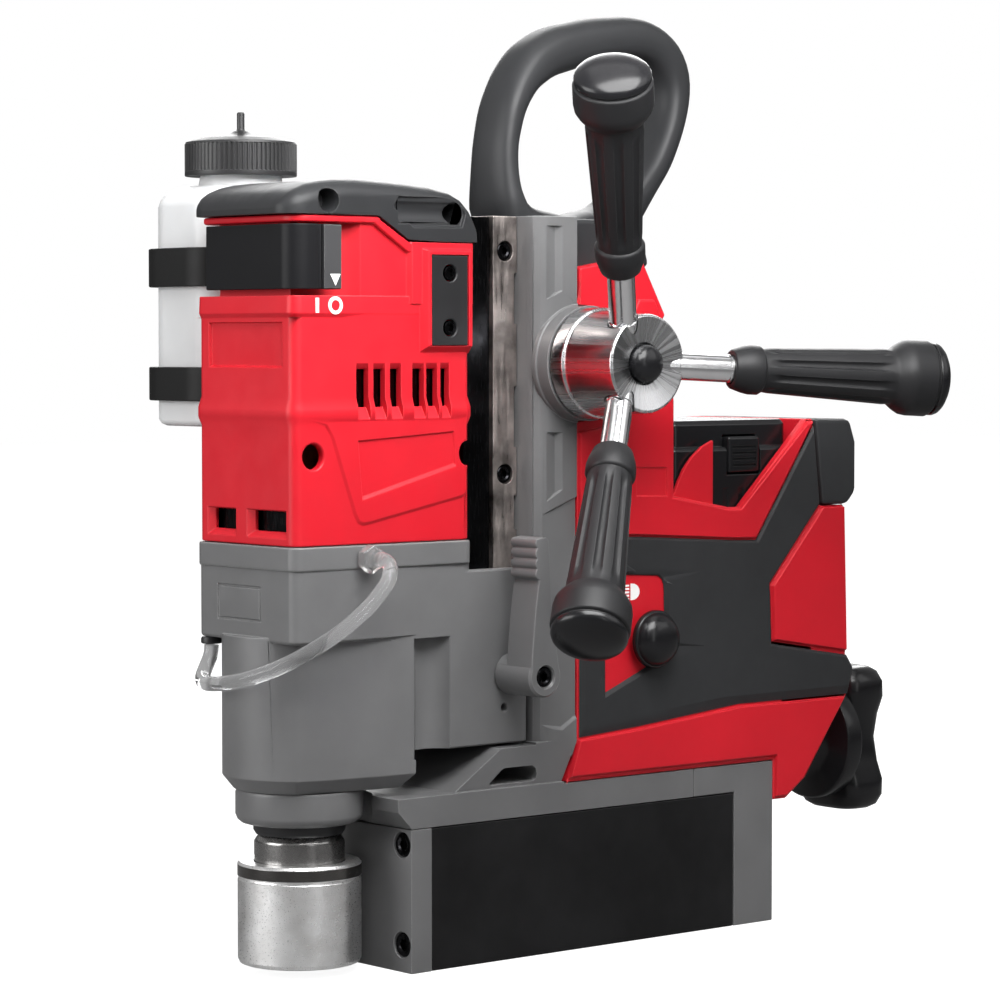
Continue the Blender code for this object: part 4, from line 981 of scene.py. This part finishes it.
def make_rear_housing():
    shell = shape(prism(SHELL_SIDE, "X", 0.15, SHELL_HALF),
                  cut=[prism(SHELL_CAVITY, "X", -1.0, SHELL_HALF - 3.3)],
                  edge=0.5)
    band_slopes = [0.6, 0.6, 0.6, 1.4, 1.8, 0.6, 1.8, 2.4, 2.8, 1.6, 1.2, 1.2, 1.2, 0.8, 0.8, 0.4]
    crowned = inset(TOP_BAND, [0.5 * slope for slope in band_slopes])
    levels = ((SHELL_HALF - 1, TOP_BAND), (PANEL_OUT - 0.6, TOP_BAND), (PANEL_OUT, crowned))
    band = loft([[(x, y, z) for y, z in outline] for x, outline in levels])
    panel = prism(SIDE_PANEL, "X", SHELL_HALF - 1, PANEL_OUT, [1.2, 0.6, 0.6, 1.2, 1.2])
    lower = prism(LOWER_PANEL, "X", SHELL_HALF - 1, PANEL_OUT,
                  [0.4, 1.6, 0.8, 0.8, 1.2, 1.6, 0.4, 0.4, 0.4])
    cuts = [rod(BOSS_RADIUS + 0.4, "X", (0, FEED_Y, FEED_Z), -60, 60, 72),
            rod(5.4, "Y", (0, 0, LEVER_Z), 225, 300), block((-5.4, 205, LEVER_Z - 12),
                    (5.4, 235, LEVER_Z + 5.4)),
            block((-17.4, 210.5, 60), (17.4, 221.5, 80)),
            prism([(147.6, 188.2), (165.6, 187.6), (165.6, 200.6), (147.6, 201)], "X", PANEL_OUT + 1,
                  PANEL_OUT - 0.8, 0.5)]
    cheek = bevelled(prism(NECK_CHEEK, "X", 30.4, SHELL_HALF + 0.4), 0.8, 2)
    fin = bevelled(prism(GUARD_FIN, "X", 34.9, 36.8), 0.5, 2)
    extra("guard_fin_left", "frame", flipped(fin), "red_plastic")
    extra("guard_fin_right", "frame", fin, "red_plastic")
    joined = united(united(shell, [band, panel, lower]), [cheek])
    shell = bevelled(without(joined, cuts), 0.35, 2, 25.0)
    other = flipped(shell)
    lamp_hole = rod(6.3, "X", (0, LAMP_Y, LAMP_Z), 30, 60)
    stand_in("rear_housing_right", without(shell, [lamp_hole]), "red_plastic")
    stand_in("rear_housing_left", other, "red_plastic")

    edges = [5.0, 5.0, 4.0, 1.5, 1.5, 1.2, 1.2, 1.6, 1.2, 1.2, 1.2, 1.0, 1.0, 2.4]
    skin = prism(OVERMOULD_SIDE, "X", SHELL_HALF + GAP, PANEL_OUT, edges)
    window = extrude(inset(LAMP_WINDOW, -2.4), LAMP_WINDOW, "X", PANEL_OUT + 0.6, SHELL_HALF + 0.2)
    sill = extrude(WINDOW_SILL, SILL_INNER, "X", PANEL_OUT + 0.1, SHELL_HALF + 0.9)
    brow = extrude(WINDOW_BROW, BROW_INNER, "X", PANEL_OUT + 0.1, SHELL_HALF + 0.9)
    hole = prism(LAMP_WINDOW, "X", 30, SHELL_HALF + 1)
    skin = shape(skin, cut=[window, sill, brow, hole], edge=0.3, angle=20.0)
    stand_in("overmould_left", flipped(skin), "dark_overmould")
    stand_in("overmould_right", skin, "dark_overmould")

    bumper = bevelled(prism(BUMPER_SIDE, "X", -PANEL_OUT, PANEL_OUT), 2.4, 2, 25.0)
    stand_in("rear_bumper", bumper, "dark_overmould")


def make_light_button():
    profile = [(0, 31), (8.5, 31), (8.5, 34.4), (6.0, 34.4), (6.0, 41.3), (12.0, 41.3), (12.3, 41.6),
               (12.3, 43.2), (11.9, 43.8), (11.4, 44.0), (10.9, 45.4), (9.6, 47.4), (7.6, 48.9),
               (5.2, 49.7), (2.6, 50.1), (0, 50.2)]
    stand_in("light_button", turned(profile, along("X", (0, LAMP_Y, LAMP_Z))), "gloss_black")
    lens = [(145.8, 151.7)] + [(146.6 + 4.4 * math.sin(math.radians(a)),
                                148.2 + 3.5 * math.cos(math.radians(a)))
                               for a in range(0, 181, 18)] + [(145.8, 144.7)]
    marks = [prism(lens, "X", SHELL_HALF - 0.1, SHELL_HALF + 0.15)]
    for step in range(5):
        low = 144.9 + step * 1.4
        marks.append(block((SHELL_HALF - 0.1, 139.8, low), (SHELL_HALF + 0.15, 145.0, low + 0.8)))
    for number, mark in enumerate(marks):
        extra(f"lamp_mark_{number}", "frame", mark, "white_mark")


def make_battery():
    base = tower((-34, 173.5), (34, 248), 4, [(122, -1.5), (123.5, 0), (206.5, 0), (208, -1.2)])
    top = tower((-31, 176), (31, 246), 5, [(205, 0), (217.5, 0), (219.5, -1.6)])
    grooves = [block((-40, 186 + 9 * step, 128), (-33.2, 189 + 9 * step, 190)) for step in range(6)]
    grooves += [flipped(groove) for groove in grooves]
    grooves += [block((-22, 181 + 11 * step, 218.6), (22, 184 + 11 * step, 221)) for step in range(6)]
    seats = [block((sign * 29 - 6, 206, 196), (sign * 29 + 6, 226, 213)) for sign in (1, -1)]
    pack = shape(base, join=[top], cut=grooves + seats, edge=0.5)
    stand_in("battery_pack", pack, "gloss_black")
    for side, sign in (("right", 1), ("left", -1)):
        low, high = sorted((sign * 27.5, sign * 34.4))
        latch = bevelled(block((low, 206.6, 196.6), (high, 225.4, 212.4)), 1.4, 3)
        inner, outer = sorted((sign * 33.9, sign * 36))
        ribs = [block((inner, 209, 199.4 + 2.6 * step), (outer, 223,
                200.5 + 2.6 * step)) for step in range(4)]
        stand_in(f"battery_latch_{side}", without(latch, ribs), "gloss_black")


def make_magnet_switch():
    rings = []
    for height, half, deep in ((-33, 9, 6), (-32.4, 13, 9), (-30.5, 17, 11.6), (-26, 19.6, 13.6),
                               (-19, 19.6, 14),
                               (-11, 16.4, 13.2), (0, 14.4, 12.4), (11, 16.4, 13.2), (19, 19.6, 14),
                               (26, 19.6, 13.6), (30.5, 17, 11.6), (32.4, 13, 9), (33, 9, 6)):
        rings.append([(x, 312 + y, LEVER_Z + height) for x, y in oval(half, deep, 3.0, 32)])
    disc = lathe([(12.4, 272), (13.4, 273), (15, 282), (18, 286.4), (26, 289.4), (27, 290.6), (27, 297.6),
                  (26, 299)], along("Y", (0, 0, LEVER_Z)))
    bore = rod(5.3, "Y", (0, 0, LEVER_Z), 250, 300.5)
    knob = without(united(loft(rings), [disc]), [bore])
    stand_in("magnet_lever", knob, "gloss_black", 45.0)


# ---------------------------------------------------------------- feed

def spoke_matrix(number):
    """Local Z runs out along a spoke from the point where the three meet."""
    turn = SPOKE_FIRST + 2.0 * math.pi * number / SPOKE_COUNT
    way = Vector((math.sin(SPOKE_LEAN), math.cos(SPOKE_LEAN) * math.sin(turn),
                  math.cos(SPOKE_LEAN) * math.cos(turn)))
    lean = way.to_track_quat("Z", "Y").to_matrix().to_4x4()
    return Matrix.Translation((SPOKE_MEET_X, FEED_Y, FEED_Z)) @ lean


def fluted_grip(matrix):
    """A tapered hand grip with long flutes between its collar and its round knob."""
    sides, flutes, start, end = 144, 9, 60.0, 116.0
    profile = [(6.3, 81), (6.3, 46.0), (7.6, 46.0), (8.2, 46.6), (9.6, 51.0), (10.2, 54.0), (10.2, 57.6),
               (9.6, 58.6), (9.0, 59.0), (9.0, 60.0)]
    body = [(9.2 + 2.5 * step / 22, start + (end - start) * step / 22) for step in range(1, 22)]
    knob = [(11.4, 116.0), (12.4, 117.4), (14.2, 119.8), (15.4, 122.0), (15.8, 124.6), (15.8, 132.4),
            (15.4, 133.2), (14.6, 133.5), (14.6, 134.2)]
    line = []
    for radius, height in profile + body + knob:
        share = (height - start - 2.0) / (end - start - 4.0)
        fluted = 0.0 < share < 1.0 and radius > 9.1
        deep = 1.25 * min(1.0, max(0.0, min(share, 1.0 - share) * 14.0)) if fluted else 0.0
        dips = [max(0.0, math.cos(2.0 * math.pi * step / sides * flutes)) ** 0.5 for step in range(sides)]
        line.append(([radius - deep * dip for dip in dips], height))
    return lathe(line, matrix, sides)


def make_feed():
    place = (0, FEED_Y, FEED_Z)
    profile = [(8.3, 61), (8.3, HUB_START), (22.2, HUB_START), (23.0, HUB_START + 0.8), (23.0, 52.4),
               (22.6, 53.2), (22.0, 53.6), (21.7, 54.4), (21.2, 60), (20.8, 66), (20.4, 72),
               (20.2, HUB_END - 1.2), (19.9, HUB_END - 0.5), (19.2, HUB_END), (13.0, HUB_END - 1.5),
               (8.8, HUB_END - 2.2), (8.2, HUB_END - 2.8), (8.2, HUB_END - 4)]
    hub = lathe(profile, along("X", place), 96)
    sockets = []
    for number in range(SPOKE_COUNT):
        hole = [(SPOKE_RADIUS + GAP, 13), (SPOKE_RADIUS + GAP, 45)]
        sockets.append(lathe(hole, spoke_matrix(number), 40))
    stand_in("feed_hub", shape(hub, cut=sockets, edge=0.3, angle=40.0), "spun_aluminium")
    cap = [(0, HUB_END - 3.7), (7.8, HUB_END - 3.7), (7.8, HUB_END - 1.0), (7.5, HUB_END + 0.4),
           (6.6, HUB_END + 1.8), (5.2, HUB_END + 2.8), (3.4, HUB_END + 3.4), (1.6, HUB_END + 3.7),
           (0, HUB_END + 3.8)]
    stand_in("hub_cap", turned(cap, along("X", place), 48), "gloss_black")
    for number in range(SPOKE_COUNT):
        matrix = spoke_matrix(number)
        spoke = [(SPOKE_RADIUS, 13.4), (SPOKE_RADIUS, 22), (SPOKE_RADIUS - 0.35, 22.4),
                 (SPOKE_RADIUS - 0.35, 44.4), (SPOKE_RADIUS, 44.8), (SPOKE_RADIUS, 80)]
        stand_in(f"feed_spoke_{number + 1}", lathe(spoke, matrix, 48), "polished_aluminium")
        stand_in(f"feed_grip_{number + 1}", fluted_grip(matrix), "dark_rubber", 50.0)
        end = [(0, 134.3), (14.9, 134.3), (15.2, 134.7), (15.2, 136.0), (14.7, 137.2), (13.6, 138.3),
               (11.4, 139.6), (8.2, 140.7), (4.2, 141.4), (0, 141.6)]
        extra(f"grip_end_{number + 1}", "feed", turned(end, matrix, 72), "gloss_black")


# ---------------------------------------------------------------- head

def nose_outline():
    """The nose in plan: a round front that meets two nearly straight sides at a ridge."""
    front = arc((0, 0), NOSE_RADIUS, -37, -90, 14)
    return mirrored([(HEAD_HALF, 34), (HEAD_HALF - 0.9, 22), (HEAD_HALF - 2.6, 9), (28.4, -6)] + front)


def make_gear_case():
    """Grey casting: gear box, round nose and the carriage that wraps the gibs."""
    case = tower((-HEAD_HALF, HEAD_FRONT + 0.3), (HEAD_HALF, 64), 4.5,
                 [(CASE_FLOOR, -0.8), (CASE_FLOOR + 1.0, 0), (CASE_BAND + 1, 0)])
    band = tower((-HEAD_HALF - 0.5, HEAD_FRONT - 0.2), (HEAD_HALF + 0.5, 64), 4.8,
                 [(CASE_BAND, -0.2), (CASE_BAND + 0.5, 0.1), (CASE_TOP - 0.5, 0.1), (CASE_TOP, -0.3)])
    carriage = bevelled(block((-HEAD_HALF, 33, BLOCK_FLOOR), (HEAD_HALF, 92.6, 160.6)), 0.8, 2)
    nose = prism(nose_outline(), "Z", 80, CASE_FLOOR + 2)
    chin = extrude(inset(nose_outline(), 4.6), nose_outline(), "Z", NOSE_FLOOR, 80.0)
    badge = without(block((-18.6, -30, 142.7), (10.4, HEAD_FRONT + 0.9, 156.7)),
                    [block((-17.7, -31, 143.6), (9.5, 0, 155.8))])
    wall = HEAD_HALF - 4.5
    lead = lathe([(1.5, 20), (1.5, 32.4), (2.3, 33.2), (2.3, 40)], along("X", (0, 80.6, 103.5)), 32)
    cuts = [block((-27.3, SLIDE_FRONT - GAP, BLOCK_FLOOR - 5), (27.3, 100, CASE_TOP + 5)),
            block((-wall, -22.5, CASE_FLOOR + 4), (wall, 58, CASE_TOP + 5)),
            rod(19.0, "Z", (0, 0, 0), NOSE_FLOOR - 5, CASE_FLOOR + 6, 64),
            rod(4.3, "X", (0, LOCK_Y, LOCK_Z), 20, 60), badge, lead]
    cuts += both(rod(10.0, "Z", (36.6, 42.4, 0), BLOCK_FLOOR - 3, CASE_FLOOR - 0.4, 64))
    build = shape(united(case, [carriage, nose]), join=[band, chin], cut=cuts)
    stand_in("gear_case", build, "grey_casting")
    ring = [(19.6, 60.4), (21.6, 60.2), (23.6, 60.8), (25.0, 62.0), (25.8, 64.0), (25.8, 72.6),
            (25.2, NOSE_FLOOR - GAP), (19.6, NOSE_FLOOR - GAP)]
    stand_in("nose_ring", turned(ring, along("Z", (0, 0, 0)), 96), "grey_casting")


VENTS = ((4.4, 10.4), (13.0, 18.8), (21.4, 26.9), (32.8, 38.7), (40.0, 45.6), (47.3, 51.7))
SIDE_SWELL = [(-16, 220.4), (-12.0, 219.6), (-10.2, 217.0), (1.6, 184.6), (3.8, 180.8), (7.0, 179.4),
              (10.6, 179.8), (58, 189.0), (60.4, 192), (60.4, 223.6), (-16, 223.6)]


def make_motor_housing():
    """Red shell: a stepped body, a swollen side, a waist behind the switch and two screw pads."""
    low, high = (-32.4, -26.4), (32.4, 63.4)
    levels = [(CASE_TOP + GAP, -0.2), (CASE_TOP + 1.0, 0), (219.9, 0), (223.4, 1.4), (227.2, 1.4),
              (231.6, 0), (266, 0)]
    body = tower(low, high, 4.2, levels)
    corner = arc((28.3, HEAD_FRONT + 4.7), 5.0, -90, 0, 6)
    ledge_plan = mirrored(corner + [(33.3, -3.0), (32.5, 8.0), (32.5, 63.5)])
    ledge = loft([[(x, y, height) for x, y in inset(ledge_plan, draw)]
                  for height, draw in ((263.0, 0.9), (264.6, 0.001), (HOUSING_SHOULDER, 0.3))])
    waist = mirrored([(23.6, -21.5), (23.6, -6.0), (24.2, -2.0), (25.8, 1.6), (28.2, 4.8), (31.0, 7.4),
                      (31.3, 30.4),
                      (33.2, 32.2), (33.2, 63.6)])
    upper = prism(waist, "Z", HOUSING_SHOULDER - 3, HOUSING_TOP - 0.6)
    swell = prism(SIDE_SWELL, "X", 31.6, 33.2, [1.6, 1.8, 2.4, 2.4, 2.4, 2.4, 2.4, 1.0, 0.5, 0.2, 0.5])
    lip_plan = mirrored(arc((25.0, HEAD_FRONT + 8.6), 8.0, -90, 0, 6) + [(33.0, 16.5)])
    lip = bevelled(prism(lip_plan, "Z", 300.2, HOUSING_TOP), 0.8, 2)
    brow = bevelled(prism([(14.2, 303.0), (30.9, 293.2), (34.0, 293.2), (34.0, 288.9), (29.9, 289.2),
                           (13.2, 300.0)],
                          "X", 22.0, HEAD_HALF), 0.8, 2)
    pad_side = [(35.7, 248.5), (62.5, 248.5), (62.5, 291.5), (35.7, 291.5)]
    pad = prism(pad_side, "X", 31.5, HEAD_HALF + 2.3, [3.2, 0.8, 1.6, 3.2])
    joins = [ledge, upper, lip] + both(swell) + both(brow) + both(pad)
    shell = body
    for part in joins:
        shell = united(shell, [part])

    roof = prism([(COVER_STEP_Y, HOUSING_TOP), (31.0, 293.2), (70, 293.2), (70, 310), (COVER_STEP_Y, 310)],
                 "X", -50, 50)
    plate_seat = prism([(40.6, 251.7), (59.9, 251.7), (59.9, 288.3), (40.6, 288.3)], "X", HEAD_HALF,
                       HEAD_HALF + 5)
    name_plate = prism([(-25.2, 242), (25.5, 242), (25.5, 262), (-25.2, 262)], "Y", -29.0, HEAD_FRONT + 1.9,
                       [2.0, 1.4, 1.2, 1.4])
    side_plate = prism([(4.1, 214.7), (54.3, 217.8), (55.3, 201.6), (6.5, 188.9)], "X", 34.3, 32.3,
                       [0.8, 1.0, 3.0, 0.8])
    windows = []
    for outer, inner in (((-26.2, -6.4), (-22.5, -6.6)), ((0.4, 27.0), (4.3, 26.6))):
        flare = [(outer[0], 175.8), (outer[1], 175.8), (outer[1], 187.4), (outer[0], 187.4)]
        mouth = [(inner[0], 178.8), (inner[1], 178.8), (inner[1], 186.8), (inner[0], 186.8)]
        windows.append(extrude(flare, mouth, "Y", -26.7, -24.4))
        windows.append(prism(mouth, "Y", -24.6, -18.0))
    vent = [(35, 246.6), (33.2, 246.0), (30.6, 242.6), (26, 242.6), (26, 227.5), (30.6, 227.5),
            (33.6, 222.6), (35, 222.0)]
    slots = [prism(vent, "Y", start, end) for start, end in VENTS]
    holes = []
    for y, z in ((-17.0, 208.4), (62.1, 208.3)):
        bore = [(5.0, 24), (5.0, 31.6), (5.8, 32.6), (5.8, 40)]
        holes.append(lathe(bore, along("X", (0, y, z)), 40))
    inside = HEAD_HALF - 4.0
    cuts = [roof, block((-inside, HEAD_FRONT + 4.0, 160), (inside, HEAD_REAR - 4.5, 262)),
            block((-20, -18, 255), (20, HEAD_REAR - 6, 297)), name_plate] + windows
    for part in [plate_seat, side_plate] + slots + holes:
        cuts += both(part)
    stand_in("motor_housing", bevelled(without(shell, cuts), 0.35, 2, 28.0), "red_plastic", 32.0)
    make_housing_details()


def make_housing_details():
    """The bar and ring beside the switch, and dark plates behind the vents and front windows that paint the
    shade inside them.
    """
    extra("mark_on", "head", block((32.6, -16.5, 264.8), (33.5, -14.9, 270.6)), "white_mark")
    ring = turned([(2.1, 32.4), (3.5, 32.4), (3.5, 33.5), (2.1, 33.5)], along("X", (0, -6.7, 267.7)), 40)
    extra("mark_off", "head", ring, "white_mark")
    # Black plates behind the side vents and the front windows: painted shade where the housing's inside
    # lies in shadow.
    for side, low, high in (("right", (27.2, -6, 223), (28.4, 58, 250)),
                            ("left", (-28.4, -6, 223), (-27.2, 58, 250)),
                            ("front", (-27.0, -21.6, 174), (28.0, -20.8, 190))):
        extra(f"vent_shade_plate_{side}", "head", block(low, high), "black_steel")


def make_top_cover():
    """Dark lid with a rounded front and shoulders, its lower edge stepping down at the rear."""
    crown = [(-30.0, 305.6), (-29.4, 307.6), (-28.2, 309.4), (-26.0, 311.4), (-23.0, 313.2), (-18.0, 315.2),
             (-12.0, 316.4), (-4.0, 317.3), (4.0, 317.6), (14.0, 317.4), (30.0, 316.6), (44.0, 315.4),
             (54.0, 313.6), (59.0, 311.4), (62.4, 308.2), (64.4, 304.0), (65.4, 300.2)]
    front, reach_out, corner = -30.0, HEAD_HALF + 0.8, 9.0
    rings = []
    for y, top in crown:
        drop = max(0.0, y - COVER_STEP_Y) * 0.609
        bottom = max(293.5, HOUSING_TOP + GAP - drop)
        back = max(0.0, corner - (y - front))
        half = reach_out - corner + math.sqrt(max(0.0, corner ** 2 - back ** 2))
        shoulder = min(7.5, (top - bottom) * 0.62)
        side = [(half, bottom)] + arc((half - shoulder, top - shoulder), shoulder, 0, 90, 6)
        rings.append([(a, y, b) for a, b in mirrored(side)])
    lid = loft(rings)
    step = prism([(COVER_STEP_Y, HOUSING_TOP + GAP), (30.9, 293.5), (65.6, 293.5), (65.6, 290),
                  (COVER_STEP_Y, 290)], "X", -50, 50)
    bore = lathe([(4.3, 24), (4.3, 31.6), (5.0, 32.8), (5.0, 40)], along("X", (0, -10.2, 308.9)), 40)
    pocket = [(21.5, 306.8), (24.6, 311.4), (53.0, 311.6), (58.4, 309.0), (59.8, 304.6), (57.6, 298.4),
              (32.4, 298.0)]
    pocket = prism(pocket, "X", 35.0, 32.4, [0.8, 0.4, 0.5, 0.6, 0.8, 1.8, 1.2])
    channel = rod(5.6, "Y", (36.2, 0, 305.2), 24.6, 54.4, 40)
    hole = lathe([(3.8, 20), (3.8, 31.4), (4.6, 32.4), (4.6, 40)], along("X", (0, 53.4, 305.0)), 40)
    cuts = [step]
    for part in (bore, pocket, channel, hole):
        cuts += both(part)
    stand_in("top_cover", shape(lid, cut=cuts, edge=0.35, angle=34.0), "satin_cover", 40.0)


def make_motor_switch():
    outside = arc((25.4, -19.6), 8.0, -90, 0, 8)
    inside = arc((25.4, -19.6), 4.6, 0, -90, 8)
    plan = [(-24.6, -27.6)] + outside + [(33.4, -3.7), (30.4, -3.7)] + inside + [(-24.6, -24.2)]
    groove = block((32.4, -15.4, 270), (36, -13.0, 302))
    stand_in("motor_switch", shape(prism(plan, "Z", 274, 299.5), cut=[groove], edge=0.5), "satin_black")
    end = bevelled(block((33.0, -12.4, 274.3), (33.7, -3.9, 299.2)), 0.25, 2)
    extra("switch_end", "motor_switch", end, "switch_grey")
    triangle = prism([(-9.6, 280.0), (-4.6, 280.0), (-7.0, 275.4)], "X", 33.5, 33.85)
    extra("switch_mark", "motor_switch", triangle, "white_mark")


def make_side_plate():
    plate = block((HEAD_HALF + GAP, 41, 252), (HEAD_HALF + 2.0, 59.5, 288))
    heights = (("lower", 259.0), ("upper", 281.0))
    bores = [lathe([(3.3, 30), (3.3, 34.4), (3.9, 35.2), (3.9, 40)], along("X", (0, PLATE_SCREW_Y, z)), 40)
             for _, z in heights]
    stand_in("side_plate", shape(plate, cut=bores, edge=0.4), "black_plastic")
    for level, height in heights:
        place = along("X", (0, PLATE_SCREW_Y, height))
        screw = turned([(0, 33.6), (3.0, 33.6), (3.0, 34.6), (2.6, 35.2), (0, 35.3)], place, 40)
        lobes = [1.55 + 0.35 * math.cos(6 * (2.0 * math.pi * step / 48)) for step in range(48)]
        star = prism(around(lobes, (PLATE_SCREW_Y, height)), "X", 34.2, 40)
        stand_in(f"side_plate_screw_{level}", without(screw, [star]), "black_steel")


def knurled_sleeve():
    """Chuck sleeve: a smooth band on top and, below it, a band of small raised diamonds."""
    across, rows = 264, 50
    low, high = CHUCK_FLOOR + 1.6, CHUCK_TOP - 7.2
    outline = [(14.0, 6.4), (14.0, CHUCK_FLOOR), (23.6, CHUCK_FLOOR), (24.3, CHUCK_FLOOR + 0.3),
               (24.6, CHUCK_FLOOR + 1.3)]
    above = [(24.5, CHUCK_TOP - 6.9), (24.4, CHUCK_TOP - 6.2), (25.0, CHUCK_TOP - 5.8),
             (25.0, CHUCK_TOP - 0.9), (24.2, CHUCK_TOP), (18.7, CHUCK_TOP), (18.7, 6.4)]
    knurl = []
    for row in range(rows + 1):
        radii = [24.62 + 0.34 * ((step + row) % 2) for step in range(across)]
        knurl.append((radii, low + (high - low) * row / rows))
    return turned(outline + knurl + above, Matrix.Identity(4), across)


def make_spindle():
    teeth = 34
    shape_line = [(9.525, 13), (17.6, 13), (NECK_RADIUS, 14), (NECK_RADIUS, 52.6), (17.6, 53.8),
                  (15.8, 56.2), (15.5, 57), (15.5, 139.4), (9, 139.4), (9, 160), (0, 160), (0, 66),
                  (9.525, 66)]
    wheel = around([19.8, 22.2, 22.2, 19.8] * teeth, start=teeth - 1.5)
    spindle = turned(shape_line, along("Z", (0, 0, 0)), 96)
    # The spindle takes the darker steel, with the shade under the nose painted in.
    stand_in("spindle", united(spindle, [prism(wheel, "Z", 145, 156)]), "shaded_spindle_steel")
    stand_in("chuck_sleeve", knurled_sleeve(), "knurled_steel", 25.0)
    ring = turned([(24.6, CHUCK_TOP - 5.7), (25.06, CHUCK_TOP - 5.5), (25.06, CHUCK_TOP - 1.2),
                   (24.6, CHUCK_TOP - 1.0)],
                  along("Z", (0, 0, 0)), 96)
    extra("sleeve_ring", "chuck", ring, "dark_ring")
    # A black ring round the top of the neck: painted shade in the gap under the nose.
    shade_ring = turned([(16.7, 55.8), (17.6, 55.8), (18.6, 57.4), (18.6, 60.2), (16.7, 60.2)],
                  along("Z", (0, 0, 0)), 96)
    extra("spindle_shade_ring", "head", shade_ring, "black_plastic")


def make_lock_lever():
    place = (0, LOCK_Y, LOCK_Z)
    front = [(75.4, 117), (75.8, 126), (77.2, 141), (79.0, 154), (79.8, 157.0)]
    for number in range(4):
        base = 157.4 + number * 4.2
        front += [(79.0 - 1.5 * math.sin(math.radians(a)), base + 2.0 - 1.9 * math.cos(math.radians(a)))
                  for a in (20, 50, 90, 130, 160)]
    arm = front + [(80.4, 174.2), (83.4, 174.4), (84.8, 172.8), (85.6, 160), (86.6, 145), (88.4, 132),
                   (90.8, 119)]
    blade = bevelled(prism(arm, "X", 40, 56), 0.7, 2, 40.0)
    boss = lathe([(7.8, HEAD_HALF + GAP), (8.5, 34.2), (8.5, 55.0), (7.6, 56)],
                  along("X", place), 64)
    bore = lathe([(2.8, 30), (2.8, 48), (4.4, 48), (4.4, 55.2), (5.0, 56), (5.0, 60)],
                  along("X", place), 48)
    stand_in("lock_lever", without(united(blade, [boss]), [bore]), "grey_casting")
    outwards = Matrix.Translation(place) @ Matrix.Rotation(math.pi / 2, 4, "Y")
    stand_in("lock_lever_screw", socket_screw(4.1, 55.2, 48.4, 2.5, 26.6, 2.1, outwards, 3.0),
             "black_steel")


# ---------------------------------------------------------------- coolant bottle

def bottle_outline(grow, steps=8):
    return rounded_outline((BOTTLE_X - BOTTLE_HALF_X - grow, BOTTLE_Y - BOTTLE_HALF_Y - grow),
                           (BOTTLE_X + BOTTLE_HALF_X + grow, BOTTLE_Y + BOTTLE_HALF_Y + grow), 14 + grow,
                           steps)


def make_bottle():
    levels = [(BOTTLE_FLOOR, -3.4), (BOTTLE_FLOOR + 0.9, -1.2), (BOTTLE_FLOOR + 2.6, 0), (309.0, 0),
              (311.8, -0.9), (314.2, -2.8), (316.0, -5.6), (317.2, -9.0), (318.0, -12.0)]
    body = loft([[(x, y, height) for x, y in bottle_outline(grow)] for height, grow in levels])
    neck = lathe([(20, 312), (18.6, 316), (17.6, 319), (17, BOTTLE_TOP), (17, 331)],
                  along("Z", (BOTTLE_X, BOTTLE_Y, 0)))
    stand_in("coolant_bottle", united(body, [neck]), "bottle_white", 50.0)


def make_bottle_bracket():
    """A block on the motor's side with two straps round the bottle."""
    holder = bevelled(block((-37.0, 5, 226), (-HEAD_HALF - GAP, 34, 293)), 1.0, 2)
    bands = [bevelled(prism(bottle_outline(4.0), "Z", low, high), 0.6, 2) for low, high in STRAP_SPANS]
    bridges = [block((-46, 8, low + 1), (-36.5, 31, high - 1)) for low, high in STRAP_SPANS]
    for part in bands + bridges:
        holder = united(holder, [part])
    holder = without(holder, [prism(bottle_outline(GAP), "Z", 200, 320)])
    stand_in("bottle_bracket", holder, "strap_black")


def make_bottle_cap():
    """A ribbed screw cap that rises in steps to a thin spout."""
    place = along("Z", (BOTTLE_X, BOTTLE_Y, 0))
    ribs, rim, root = 72, 23.4, 22.6
    plan = around([root, rim, rim, root] * ribs, (BOTTLE_X, BOTTLE_Y))
    low, high = BOTTLE_TOP + GAP, 336.6
    cap = prism(plan, "Z", low + 1.6, high - 1.0)
    crown = turned([(17.4, low), (23.2, low), (23.4, low + 0.4), (23.4, low + 1.8), (22.7, low + 2.0),
                    (22.7, high - 1.4),
                    (23.2, high - 1.0), (22.9, high - 0.2), (21.8, high + 0.4), (19.2, 337.2),
                    (17.6, 338.0), (12.0, 338.8),
                    (6.0, 339.4), (4.2, 340.2), (3.2, 341.0), (1.9, 341.4), (1.6, 342), (1.6, 348.4),
                    (1.2, 349), (0, 349), (0, 331.5),
                    (17.4, 331.5)], place, 96)
    cap = without(cap, [lathe([(20, low - 1), (20, high + 2)], place, 96)])
    stand_in("bottle_cap", united(crown, [cap]), "cap_black")


# ---------------------------------------------------------------- assembly

# CAD nodes that keep their own shape: the finish, and the width of their softened edges in mm
KEPT_NODES = {"slide_bar": ("black_steel", 0.6), "feed_rack": ("bright_steel", 0.2),
              "pinion_shaft": ("bright_steel", 0.3), "pinion_bush": ("dark_steel", 0.3),
              "lever_shaft": ("bright_steel", 0.3), "magnet_rotor": ("bright_steel", 0.3),
              "motor_stator": ("copper_winding", 0.4), "motor_rotor": ("dark_steel", 0.2),
              "control_board": ("board", 0.3)}
for kept_node, (kept_finish, kept_edge) in KEPT_NODES.items():
    refinish(kept_node, kept_finish, kept_edge)

make_camera()
make_coolant_line()
make_floor()
make_world()
make_lights()
make_magnet()
make_frame_casting()
make_gibs()
make_carry_handle()
make_rear_housing()
make_light_button()
make_battery()
make_magnet_switch()
make_feed()
make_gear_case()
make_motor_housing()
make_top_cover()
make_motor_switch()
make_side_plate()
make_spindle()
make_lock_lever()
make_bottle()
make_bottle_bracket()
make_bottle_cap()
